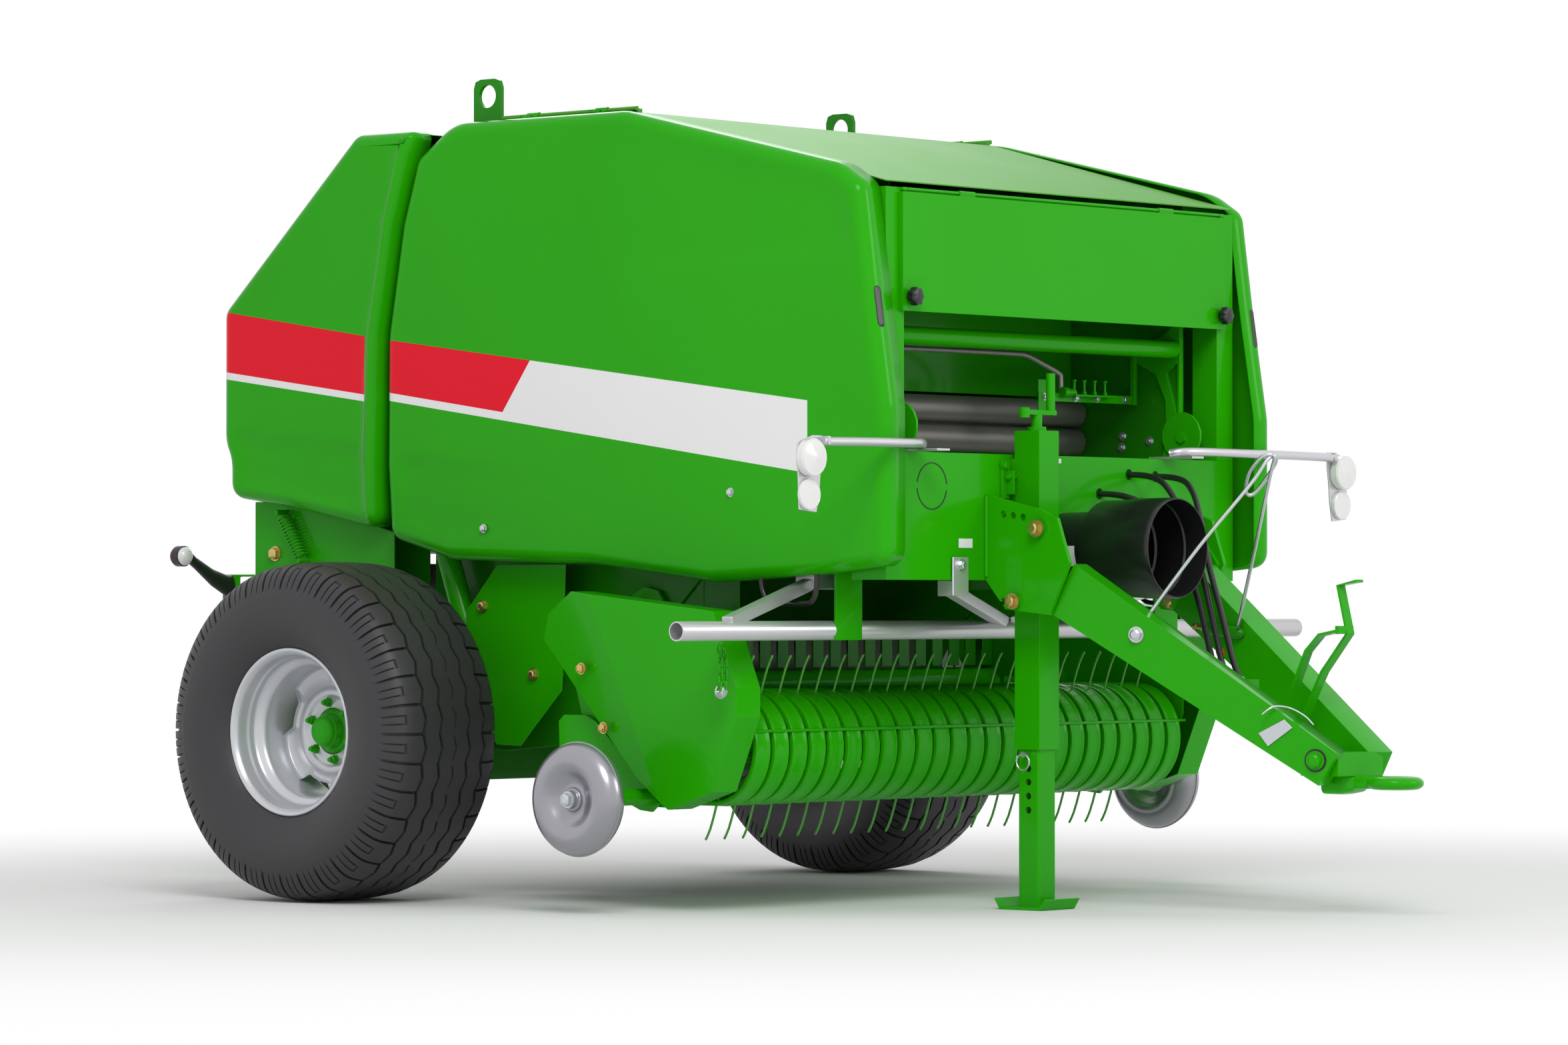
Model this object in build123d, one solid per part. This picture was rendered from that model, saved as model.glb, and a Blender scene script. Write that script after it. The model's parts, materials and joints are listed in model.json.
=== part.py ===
from build123d import *
import os
from math import atan2, cos, degrees, hypot, pi, radians, sin, tan

# A trailed fixed-chamber round baler. Millimetres, +Z up, ground at Z = 0.
# X is across the machine (+X its left side). Lengths along Y are given from the wheels'
# axle (hitch at -Y, tailgate at +Y); keep() moves the finished pieces so that the
# middle of the overall length stands at Y = 0.
# Round pieces that carry no pin or bearing are many-sided, which keeps their faces few.

# --- driving dimensions -------------------------------------------------------------
seat = 0.3                     # gap between pieces that rest on each other
running = 0.06                 # gap all round a shaft in its hole

tyre_diameter = 874.0
tyre_width = 400.0
tyre_bead_radius = 197.0
wheel_track = 2090.0
wheel_sides = 32
rim_lip_radius = 216.0
rim_half_width = 165.0
rim_wall = 6.0
well_depth = 24.0
disc_thickness = 10.0
hub_radius = 85.0
hub_length = 120.0
spindle_radius = 32.0
axle_side = 90.0
axle_z = 345.0

chamber_y = -190.0
chamber_z = 1210.0
bale_radius = 600.0
chamber_half_width = 600.0
wall = 6.0
roller_radius = 85.0
roller_sides = 12

frame_overhang = 108.0         # from the chamber wall to the outside of the front frame
frame_front = -1580.0
beam_bottom = 825.0
beam_top = 1141.0
beam_depth = 110.0
plate = 8.0
post_width = 70.0
post_depth = 80.0
post_top = 1790.0
header_height = 90.0
cross_tube = (-1478.0, 1434.0, 23.0)      # y, z, radius
feed_roller_y = -1150.0
feed_roller_radius = 35.0
feed_rollers = (("upper", 1272.0), ("lower", 1196.0))

ridge_y = -774.0
ridge_z = 2015.0
roof_front_z = 1806.0
sheet = 3.0
shield_gap = 6.0
shield_depth = 80.0
shield_skin = 4.0
shield_round = 32.0
shield_corner = 46.0
shield_hinge_z = 2026.0
shield_hinge_ends = (-760.0, -290.0)
shield_hinge_radius = 6.0
hood_half = 665.0
hood_top = 1779.0
hood_bottom = 1486.0
hood_hinge_radius = 4.0

hinge_y = -78.0
hinge_z = 1962.0
hinge_pin_radius = 14.0
seam_gap = 24.0

reel_y = -1150.0
reel_z = 408.0
band_radius = 142.0
band_sheet = 3.0
band_pitch = 70.0
band_count = 25
band_gap = 17.0
band_tail = 250.0
tine_tip_radius = 238.0
tine_side = 6.0
tine_bar_radius = 11.0
tine_bar_circle = 92.0
reel_shaft_radius = 22.0
pickup_half_width = 895.0
pickup_plate = 5.0
pickup_pivot = (-700.0, 760.0)
pickup_pivot_radius = 20.0
cover_depth = 90.0
pickup_tube = (-845.0, 560.0, 35.0)       # y, z, radius
comb_y = -870.0
comb_top = 720.0
comb_tip = 600.0

gauge_x = 1172.0
gauge_y = -978.0
gauge_z = 286.0
gauge_radius = 142.0
gauge_half_width = 41.0
gauge_axle_radius = 12.0

hitch_y = -2592.0
hitch_z = 331.0
ring_hole_radius = 25.0
ring_outer_radius = 70.0
ring_thickness = 32.0
drawbar_plate_x = 320.0
drawbar_plate_t = 12.0
arm_width = 76.0

jack_tube_side = 80.0
jack_wall = 5.0
jack_slack = 0.4
jack_x = -190.0
jack_y = -1636.0
jack_tube_bottom = 400.0
jack_tube_top = 1200.0
jack_leg_top = 900.0
jack_foot_side = 140.0
jack_foot_plate = 8.0
screw_radius = 14.0

pto_z = 905.0
pto_shaft_radius = 17.45
pto_shaft_length = 180.0
pto_guard_radius = 126.0
pto_guard_front = -1935.0
pto_guard_step = -1705.0

eye_y = -230.0
eye_rise = 117.0               # top of the lifting eye above the roof ridge
eye_hole_drop = 45.0
eye_hole_radius = 30.0
eye_width = 98.0
eye_plate = 12.0

lamp_x = 1095.0
lamp_y = -1668.0
lamp_radius = 46.0
reflector_radius = 38.0

guard_bar_half = 1265.0
guard_bar_y = -1385.0
guard_bar_z = 700.0
guard_bar_radius = 24.0
strut_side = 30.0

cylinder_foot = (-150.0, 600.0)
cylinder_eye = (200.0, 1560.0)
cylinder_offset = 62.0         # from the wall's outer face to the cylinder's middle
cylinder_barrel_radius = 30.0
cylinder_rod_radius = 17.5
cylinder_pin_radius = 12.5

side_plate_offset = 100.0      # from the wall to the plates outside it
marker_rear = 705.0            # the rearmost face of the machine
hose_radius = 8.0

# derived planes
wall_out = chamber_half_width + wall
half = wall_out + frame_overhang
shield_inner = half + shield_gap
cylinder_x = wall_out + cylinder_offset
tyre_radius = tyre_diameter / 2
wheel_x = wheel_track / 2
front_end = hitch_y - ring_outer_radius
origin_to_axle = -(front_end + marker_rear) / 2

sides = (("right", -1), ("left", 1))


# --- helpers ------------------------------------------------------------------------
def yz_prism(points, x0, x1):
    """A plate or block whose outline is drawn on (y, z), from x0 to x1."""
    face = Plane.YZ * Polygon(*points, align=None)
    return Pos(min(x0, x1), 0, 0) * extrude(face, amount=abs(x1 - x0), dir=(1, 0, 0))


def block(x0, x1, y0, y1, z0, z1):
    """A box by its limits."""
    box = Box(abs(x1 - x0), abs(y1 - y0), abs(z1 - z0))
    return Pos((x0 + x1) / 2, (y0 + y1) / 2, (z0 + z1) / 2) * box


def x_rod(radius, x0, x1, y, z):
    """A round pin or tube along X."""
    return Pos((x0 + x1) / 2, y, z) * Rot(0, 90, 0) * Cylinder(radius, abs(x1 - x0))


def y_rod(radius, y0, y1, x, z):
    """A round pin or tube along Y."""
    return Pos(x, (y0 + y1) / 2, z) * Rot(90, 0, 0) * Cylinder(radius, abs(y1 - y0))


def z_rod(radius, z0, z1, x, y):
    """An upright round bar."""
    return Pos(x, y, (z0 + z1) / 2) * Cylinder(radius, abs(z1 - z0))


def skin(loops):
    """A flat-sided solid through closed loops of points, one after another."""
    walls = [loops[0], loops[-1]]
    for a, b in zip(loops, loops[1:]):
        for i in range(len(a)):
            p, q, r, t = a[i - 1], a[i], b[i], b[i - 1]
            level = abs((q - p).cross(t - p).normalized().dot((r - p).normalized())) < 1e-7
            walls += [(p, q, r, t)] if level else [(p, q, r), (p, r, t)]
    return Solid(Shell([Face(Wire.make_polygon(corners)) for corners in walls]))


def rings(sections, sides):
    """A body along +X through many-sided rings, each (distance, radius across flats)."""
    turns = [2 * pi * (i + 0.5) / sides for i in range(sides)]
    reach = 1 / cos(pi / sides)
    return skin([[Vector(along, r * reach * cos(a), r * reach * sin(a)) for a in turns]
                 for along, r in sections])


def x_boss(radius, x0, x1, y, z, sides=12):
    """A plain boss or roller along X."""
    return Pos(0, y, z) * rings([(min(x0, x1), radius), (max(x0, x1), radius)], sides)


def y_boss(radius, y0, y1, x, z, sides=12):
    """A plain boss along Y."""
    return Pos(x, 0, z) * Rot(0, 0, 90) * rings([(min(y0, y1), radius), (max(y0, y1), radius)], sides)


def z_boss(radius, z0, z1, x, y, sides=12):
    """A plain upright boss."""
    return Pos(x, y, 0) * Rot(0, -90, 0) * rings([(z0, radius), (z1, radius)], sides)


def bar(p, q, width, height):
    """A rectangular bar from p to q; its width lies level."""
    p, q = Vector(*p), Vector(*q)
    along = q - p
    level = Vector(0, 0, 1).cross(along)
    plane = Plane(origin=p, x_dir=level, z_dir=along)
    return plane * extrude(Rectangle(width, height), amount=along.length)


def round_bar(points, radius, sides=6):
    """A bent wire or rod through points: straight runs with a ball-like joint at each bend."""
    runs = []
    for p, q in zip(points, points[1:]):
        p, q = Vector(*p), Vector(*q)
        reach = (q - p).normalized() * radius * 0.5
        plane = Plane(origin=p - reach, z_dir=q - p)
        runs.append(plane * extrude(RegularPolygon(radius, sides), amount=(q - p).length + radius))
    return runs[0].fuse(*runs[1:]) if len(runs) > 1 else runs[0]


def ribbon(points, x, width, thickness):
    """A flat strip standing across X, bent along a line of (y, z) points."""
    left, right = [], []
    for i, (y, z) in enumerate(points):
        before, after = points[max(i - 1, 0)], points[min(i + 1, len(points) - 1)]
        dy, dz = after[0] - before[0], after[1] - before[1]
        size = hypot(dy, dz)
        ny, nz = -dz / size * thickness / 2, dy / size * thickness / 2
        left.append((y + ny, z + nz))
        right.append((y - ny, z - nz))
    return yz_prism(left + right[::-1], x - width / 2, x + width / 2)


def rounded(points, radius, least_turn=25, pieces=2):
    """An outline with each sharp corner cut to a few short edges that follow an arc."""
    outline = []
    for i, here in enumerate(points):
        a, b, c = Vector(*points[i - 1]), Vector(*here), Vector(*points[(i + 1) % len(points)])
        u, v = (a - b), (c - b)
        turn = 180 - u.get_angle(v)
        if turn < least_turn:
            outline.append(here)
            continue
        reach = min(radius * tan(radians(turn / 2)), 0.45 * u.length, 0.45 * v.length)
        u, v = u.normalized() * reach, v.normalized() * reach
        for step in range(pieces + 1):
            t = step / pieces
            p = b + u * (1 - t) ** 2 + v * t ** 2
            outline.append((p.X, p.Y))
    return outline


def polar(radius, angle, y=0.0, z=0.0):
    """The point at a radius and an angle (degrees up from +Y) about (y, z)."""
    return y + radius * cos(radians(angle)), z + radius * sin(radians(angle))


def on_side(solid, s):
    """A piece drawn for the left side, put on side s."""
    return solid if s > 0 else mirror(solid, Plane.YZ)


def keep(name, *solids):
    """Write one node's file, moved from the axle's frame to the part's own."""
    os.makedirs("parts", exist_ok=True)
    placed = [Pos(0, origin_to_axle, 0) * s for group in solids for s in group.solids()]
    export_step(Compound(children=placed) if len(placed) > 1 else placed[0],
                f"parts/{name}.step")


# --- wheels -------------------------------------------------------------------------
tread_half = 0.24 * tyre_width
bead_half = rim_half_width - 8
notch_count = 24


def tyre_body():
    """A tyre about X: rounded shoulders, dished sidewalls and sipes cut in its shoulders."""
    hip, top = tyre_width / 2, tyre_radius
    body = rings([(-hip, 318), (-hip + 14, top - 49), (-hip + 42, top - 14), (-tread_half, top),
                  (tread_half, top), (hip - 42, top - 14), (hip - 14, top - 49), (hip, 318)], wheel_sides)
    for s in (-1, 1):
        dish = rings([(bead_half - seat, rim_lip_radius + 2), (hip + 1, 318)], wheel_sides)
        body -= on_side(dish, s)
    body -= rings([(-hip, tyre_bead_radius + rim_wall + seat), (hip, tyre_bead_radius + rim_wall + seat)],
                  wheel_sides)
    cuts = []
    for i in range(notch_count):
        for s in (-1, 1):
            cut = Pos(s * (hip - 20), 0, top) * Box(90, 9, 24)
            cuts.append(Rot(360 * (i + 0.5) / notch_count, 0, 0) * cut)
    return body - cuts


def rim_body():
    """A drop-centre rim open to both sides, with a flat disc near its middle plane."""
    bead = tyre_bead_radius
    well = bead - well_depth
    edge = rim_half_width
    shell = rings([(-edge, rim_lip_radius), (-edge + 7, rim_lip_radius), (-bead_half + 0.2, bead + rim_wall),
                   (-74, bead + 4), (-50, well), (72, well), (96, bead + 4),
                   (bead_half - 0.2, bead + rim_wall), (edge - 7, rim_lip_radius), (edge, rim_lip_radius)],
                  wheel_sides)
    shell -= rings([(-edge, bead), (-74, bead - 2), (-50, well - rim_wall), (72, well - rim_wall),
                    (96, bead - 2), (edge, bead)], wheel_sides)
    disc = rings([(-disc_thickness / 2, well - 1), (disc_thickness / 2, well - 1)], wheel_sides)
    disc = disc & Rot(20, 0, 0) * Box(disc_thickness, 2 * well - 34, 2 * well - 34)
    disc -= rings([(-disc_thickness, 60), (disc_thickness, 60)], 20)
    return shell + disc


def hub_body():
    """A hub that bolts behind the disc, its cap standing out through the centre."""
    flange = -disc_thickness / 2 - seat
    body = rings([(-hub_length, 58), (flange - 16, 62), (flange - 14, hub_radius), (flange, hub_radius),
                  (flange + 0.2, 58), (30, 42), (52, 32)], 16)
    return body - x_rod(spindle_radius + running, -hub_length - 1, 30, 0, 0)


tyre, rim, hub = tyre_body(), rim_body(), hub_body()
for side, s in sides:
    place = Pos(s * wheel_x, 0, tyre_radius)
    keep(f"tyre_{side}", place * tyre)
    keep(f"rim_{side}", place * on_side(rim, s))
    keep(f"hub_{side}", place * on_side(hub, s))

drop_plate_x = wall_out + 34
drop_plate = 20.0
axle = block(-drop_plate_x, drop_plate_x, -axle_side / 2, axle_side / 2,
             axle_z - axle_side / 2, axle_z + axle_side / 2)
for side, s in sides:
    axle += block(s * drop_plate_x, s * (drop_plate_x + drop_plate), -65, 65,
                  axle_z - axle_side / 2, 500)
    axle += x_boss(48, s * drop_plate_x, s * (wheel_x - hub_length - 1), 0, tyre_radius)
    axle += x_rod(spindle_radius, s * (wheel_x - hub_length - 1), s * (wheel_x + 28), 0, tyre_radius)
keep("axle", axle)

# --- bale chamber -------------------------------------------------------------------
roof_front = (frame_front + 2, roof_front_z)


def roof_z(y):
    """Height of the roof's upper face at y."""
    if y >= ridge_y:
        return ridge_z
    rise = (ridge_z - roof_front[1]) / (ridge_y - roof_front[0])
    return roof_front[1] + (y - roof_front[0]) * rise


def under_roof(y):
    """A point just below the roof sheet."""
    return (y, roof_z(y) - sheet * 1.04 - seat)


# the parting line between the chassis and the tailgate, (y, z) from the hinge down
seam = [(-47, 1930), (8, 1760), (61, 1470), (64, 1130), (60, 480)]
post_back = frame_front + post_depth
beam_back = frame_front + beam_depth
wall_outline = [
    (-145, 1930), under_roof(-145), under_roof(ridge_y), under_roof(post_back), (post_back, beam_top),
    (beam_back, beam_top), (beam_back, beam_bottom + 25),
    (-900, beam_bottom + 25), (-760, 720), (-700, 640), (-600, 480), (-420, 400), (-190, 380), (60, 420),
] + seam[::-1]
tailgate_wall_outline = [(y + seam_gap, z) for y, z in seam] + [
    (84, 440), (180, 470), (400, 560), (540, 690), (625, 880), (640, 1060), (641, 1150), (667, 1208),
    (667, 1548), (171, 1996), (-24, 1994)]
roller_circle = bale_radius + roller_radius
top_tube_y, top_tube_z = (-215, -155), (1922, 1978)
front_roller_angles = (80, 99, 118, 137, 156, 175, 240, 260, 280)
rear_roller_angles = (-57, -38, -19, 0, 19, 38, 57)


def chamber_roller(angle):
    """One roller, carried between both walls."""
    y, z = polar(roller_circle, angle, chamber_y, chamber_z)
    reach = chamber_half_width - seat
    return x_boss(roller_radius, -reach, reach, y, z, roller_sides)


side_walls = []
for side, s in sides:
    side_wall = yz_prism(wall_outline, s * chamber_half_width, s * wall_out)
    side_wall += x_boss(46, s * wall_out, s * (wall_out + 4), *pickup_pivot)
    side_wall += x_rod(pickup_pivot_radius, s * (wall_out + 4), s * (wall_out + 30), *pickup_pivot)
    side_wall += block(s * wall_out, s * drop_plate_x, -60, 55, 425, 500)
    side_wall += x_boss(34, s * wall_out, s * (cylinder_x - 20), *cylinder_foot)
    side_wall += x_rod(cylinder_pin_radius, s * (cylinder_x - 20), s * (cylinder_x + 20), *cylinder_foot)
    side_wall -= block(-half, half, *top_tube_y, *top_tube_z)
    side_walls.append(side_wall)
keep("side_walls", *side_walls)
keep("front_rollers", *[chamber_roller(a) for a in front_roller_angles])
keep("rear_rollers", *[chamber_roller(a) for a in rear_roller_angles])

# plates low on both sides, which close the drives off from the wheels
guard_in = wall_out + side_plate_offset
lower_outline = [(-504, 868), (-262, 868), (-150, 745), (-150, 520), (-260, 400), (-344, 397), (-492, 543)]
lower_bolts = ((-212, 759), (-393, 583))
lower_guards = []
for side, s in sides:
    guard = yz_prism(lower_outline, s * guard_in, s * (guard_in + 4))
    for y, z in lower_bolts:
        guard += x_boss(12, s * wall_out, s * (guard_in + 10), y, z, 6)
    lower_guards.append(guard)
keep("lower_guards", *lower_guards)

# --- front frame --------------------------------------------------------------------
beam = block(-half, half, frame_front, beam_back, beam_bottom, beam_top)
beam -= block(-half + plate, half - plate, frame_front + plate, beam_back + 1,
              beam_bottom + plate, beam_top - plate)
hose_holes = ((140, 1047), (264, 1098), (376, 1095))
hose_hole_radius = 14.0
pto_hole_radius = 82.0
for hx, hz in hose_holes:
    beam -= y_boss(hose_hole_radius, frame_front - 1, frame_front + plate + 1, hx, hz)
beam -= y_boss(pto_hole_radius, frame_front - 1, frame_front + plate + 1, 0, pto_z, 24)
keep("front_beam", beam)

header_bottom = post_top - header_height
hood_hinge_y, hood_hinge_z = frame_front - 7, hood_top + 7
front_frame = block(-half + post_width, half - post_width, frame_front + 20, post_back,
                    header_bottom, post_top)
bracket_outline = [(post_back, beam_top), (-1440, beam_top), (-1455, 1200), (-1452, 1300), (-1420, 1370),
                   (-1351, 1404), (-1351, 1440), (-1440, 1470), (-1480, 1500), (post_back, 1500)]
bracket_window = [(-1492, 1399), (-1456, 1372), (-1492, 1256)]
bracket_in = chamber_half_width - 12
for side, s in sides:
    front_frame += block(s * half, s * (half - post_width), frame_front, post_back, beam_top, post_top)
    # the lugs round the hinge rod stay inside the circle that the hood's top edge sweeps
    front_frame += block(s * (half - post_width), s * (half - post_width + 16),
                         hood_hinge_y - hood_hinge_radius, frame_front, hood_top + 3, post_top)
front_frame += x_rod(hood_hinge_radius, -half + post_width + 2, half - post_width - 2,
                     hood_hinge_y, hood_hinge_z)
brackets = []
for side, s in sides:
    bracket = yz_prism(bracket_outline, s * bracket_in, s * (chamber_half_width - seat))
    bracket -= yz_prism(bracket_window, s * (bracket_in - 1), s * chamber_half_width)
    bracket += x_boss(62, s * (bracket_in - 8), s * bracket_in, -1510, 1206, 16)
    bracket += x_boss(14, s * (bracket_in - 16), s * (bracket_in - 8), -1512, 1202, 6)
    brackets.append(bracket)
tube_y, tube_z, tube_radius = cross_tube
brackets.append(x_boss(tube_radius, -bracket_in + seat, bracket_in - seat, tube_y, tube_z, 16))
# the sheet that closes the space above the feed rollers
baffle_line = [(-1128, 1315), (-1128, 1560), (-1210, 1700)]
baffle = ribbon(baffle_line, 0, 2 * (chamber_half_width - seat), sheet)
keep("front_frame", front_frame, *brackets, baffle)

# the gearbox stands behind the beam and turns the drive to the left side
gearbox_back = frame_front + 250
gearbox = block(-130, 130, frame_front + 20, gearbox_back, pto_z - 105, pto_z + 125)
gearbox -= block(-200, 200, frame_front - 20, beam_back, pto_z - 205, beam_bottom + plate)
keep("gearbox", gearbox)

for name, z in feed_rollers:
    reach = chamber_half_width - seat
    keep(f"feed_roller_{name}",
         x_boss(feed_roller_radius, -reach + 6, reach - 6, feed_roller_y, z, 16)
         + x_rod(16, -reach, -reach + 6, feed_roller_y, z) + x_rod(16, reach - 6, reach, feed_roller_y, z))

# twine is led over a bent rod and a bracket that reaches in from the left wall
guide_y = -1350.0
guide = round_bar([(-406, guide_y, 1410), (122, guide_y, 1411), (270, guide_y, 1369), (270, guide_y, 1312)], 7)
guide += block(175, bracket_in - 14, guide_y - 3, guide_y + 3, 1290, 1316)
guide += block(175, 232, guide_y - 3, guide_y + 3, 1255, 1350)
guide += block(bracket_in - 14, bracket_in - seat, guide_y - 10, guide_y + 3, 1290, 1440)
keep("twine_guide", guide)

# --- roof and covers ----------------------------------------------------------------
roof_line = [roof_front, (ridge_y, ridge_z), (-140, ridge_z)]
roof_under = [(y, z - sheet) for y, z in reversed(roof_line)]
roof = yz_prism(roof_line + roof_under, -half, half)
eye_x = half - 5
eye_top = ridge_z + eye_rise
hinge_axis_x = half + 3
top_frame = block(-eye_x + eye_plate / 2, eye_x - eye_plate / 2, *top_tube_y, *top_tube_z)
lug_in = wall_out + 24
for side, s in sides:
    eye_half = eye_width / 2
    eye_outline = rounded([(eye_y - eye_half, top_tube_z[0]), (eye_y + eye_half, top_tube_z[0]),
                           (eye_y + eye_half, eye_top), (eye_y - eye_half, eye_top)], 24)
    eye = yz_prism(eye_outline, s * (eye_x - eye_plate / 2), s * (eye_x + eye_plate / 2))
    eye -= x_rod(eye_hole_radius, s * (eye_x - eye_plate), s * (eye_x + eye_plate),
                 eye_y, eye_top - eye_hole_drop)
    top_frame += eye
    top_frame += block(s * lug_in, s * (lug_in + 16), top_tube_y[1], hinge_y + 38, 1925, 1978)
    top_frame -= x_rod(hinge_pin_radius, s * (wall_out - 5), s * (lug_in + 30), hinge_y, hinge_z)
    top_frame += x_rod(hinge_pin_radius, s * (wall_out + 1), s * (lug_in + 30), hinge_y, hinge_z)
    roof -= block(s * (eye_x - eye_plate / 2 - 2), s * (half + 1),
                  eye_y - eye_half - 2, eye_y + eye_half + 2, ridge_z - 100, ridge_z + 20)
    # the shields hang on a rod along the roof's edge
    hinge_rod = y_rod(shield_hinge_radius, *shield_hinge_ends, s * hinge_axis_x, shield_hinge_z)
    for y in (shield_hinge_ends[0] + 12, -520, shield_hinge_ends[1] - 12):
        roof += block(s * (half - 16), s * (hinge_axis_x - 4), y - 12, y + 12, ridge_z - sheet, shield_hinge_z)
    roof += hinge_rod
keep("roof", roof)
keep("top_frame", top_frame)

hood_face = frame_front - 14
hood = block(-hood_half, hood_half, hood_face, hood_face + 4, hood_bottom, hood_top)
for z in (hood_bottom, hood_top - sheet):
    hood += block(-hood_half, hood_half, hood_face, frame_front - seat, z, z + sheet)
for side, s in sides:
    hood += x_boss(hood_hinge_radius + 2.3, s * 380, s * 440, hood_hinge_y, hood_hinge_z)
    hood += block(s * 380, s * 440, hood_hinge_y - 5, hood_hinge_y + 3, hood_top - 1, hood_hinge_z)
    hood += block(s * hood_half, s * (hood_half - sheet), hood_face, frame_front - seat, hood_bottom, hood_top)
hood -= x_rod(hood_hinge_radius + seat, -hood_half, hood_half, hood_hinge_y, hood_hinge_z)
keep("hood", hood)
knob_z = hood_bottom + 35
keep("hood_knobs", *[y_boss(22, hood_face - 32, hood_face - seat, s * (hood_half - 25), knob_z, 10)
                     for _, s in sides])

# --- side shields -------------------------------------------------------------------
front_shield_outline = [
    (-175, 2017), (-774, 2016), (-1484, 1850), (-1565, 1797), (-1600, 1540), (-1646, 1250),
    (-1646, 862), (-1405, 838), (-1070, 820), (-671, 866), (-167, 880), (50, 938), (64, 1130),
    (61, 1470), (8, 1760), (-47, 1930),
]
rear_shield_outline = [
    (-38, 2004), (180, 2004), (680, 1553), (680, 1200), (656, 1150), (656, 1052), (427, 1022),
    (92, 958), (98, 1130), (88, 1470), (32, 1760), (-22, 1940),
]
round_steps = 3


def inset(outline, pull):
    """The outline with every edge moved inward by pull."""
    points = [Vector(*p) for p in outline]
    edges = [(b - a).normalized() for a, b in zip(points[-1:] + points[:-1], points)]
    area = sum(a.X * b.Y - b.X * a.Y for a, b in zip(points[-1:] + points[:-1], points))
    turn_in = 1 if area > 0 else -1
    moved = []
    for here, u, v in zip(points, edges, edges[1:] + edges[:1]):
        bisector = Vector(-u.Y - v.Y, u.X + v.X) * turn_in
        step = bisector * (2 * pull / bisector.length ** 2)
        moved.append((here.X + step.X, here.Y + step.Y))
    return moved


def tray(outline, s):
    """A moulded shield: a shallow tray open toward the machine, its outer rim a quarter round."""
    def section(x, pull):
        return [Vector(shield_inner + x, y, z) for y, z in rounded(inset(outline, pull), shield_corner - pull)]

    outer = [(0, 0)]
    for step in range(round_steps + 1):
        turn = radians(90 * step / round_steps)
        outer.append((shield_depth - shield_round * (1 - sin(turn)), shield_round * (1 - cos(turn))))
    hollow = [(-1, shield_skin), (shield_depth - shield_round, shield_skin + 2),
              (shield_depth - shield_skin, shield_round)]
    shell = skin([section(*at) for at in outer]) - skin([section(*at) for at in hollow])
    return on_side(shell, s)


handle_ends = (-1424.0, -1250.0)
for side, s in sides:
    shield = tray(front_shield_outline, s)
    for y in (-640, -400):
        # sleeves that turn on the roof's hinge rod
        sleeve = y_boss(shield_hinge_radius + 3, y - 20, y + 20, s * hinge_axis_x, shield_hinge_z, 10)
        sleeve += block(s * hinge_axis_x, s * (shield_inner + 30), y - 20, y + 20,
                        shield_hinge_z - 8, shield_hinge_z + 8)
        sleeve += block(s * (shield_inner + 8), s * (shield_inner + 30), y - 20, y + 20,
                        ridge_z - 5, shield_hinge_z)
        sleeve -= y_rod(shield_hinge_radius + running, y - 30, y + 30, s * hinge_axis_x, shield_hinge_z)
        shield += sleeve
    handle_x = s * (shield_inner + 30)
    grip = [(handle_x, handle_ends[0], 842), (handle_x, handle_ends[0], 775),
            (handle_x, handle_ends[1], 775), (handle_x, handle_ends[1], 842)]
    keep(f"side_shield_{side}", shield + round_bar(grip, 7))
keep("rear_shields", *[tray(rear_shield_outline, s) for _, s in sides])

# --- tailgate -----------------------------------------------------------------------
tail_line = [(-30, 1998), (176, 2000), (672, 1553), (672, 1205), (650, 1150), (650, 1060)]
tail_half = shield_inner - seat
tail_under = [(y - 4, z - sheet) for y, z in reversed(tail_line)]
keep("tailgate_skin", yz_prism(tail_line + tail_under, -tail_half, tail_half))
tailgate_walls = []
for side, s in sides:
    gate = yz_prism(tailgate_wall_outline, s * chamber_half_width, s * wall_out)
    # the hinge arm stands outside the wall, clear of the chassis wall
    gate += yz_prism([(hinge_y, hinge_z + 30), (hinge_y - 30, hinge_z), (hinge_y, hinge_z - 28),
                      (30, 1880), (60, 1960), (-20, 1990)], s * wall_out, s * (wall_out + 16))
    gate += x_boss(34, s * wall_out, s * (cylinder_x - 20), *cylinder_eye)
    gate -= x_rod(hinge_pin_radius + running, s * (chamber_half_width - 10), s * (wall_out + 40),
                  hinge_y, hinge_z)
    tailgate_walls.append(gate)
keep("tailgate_walls", *tailgate_walls)

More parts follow.
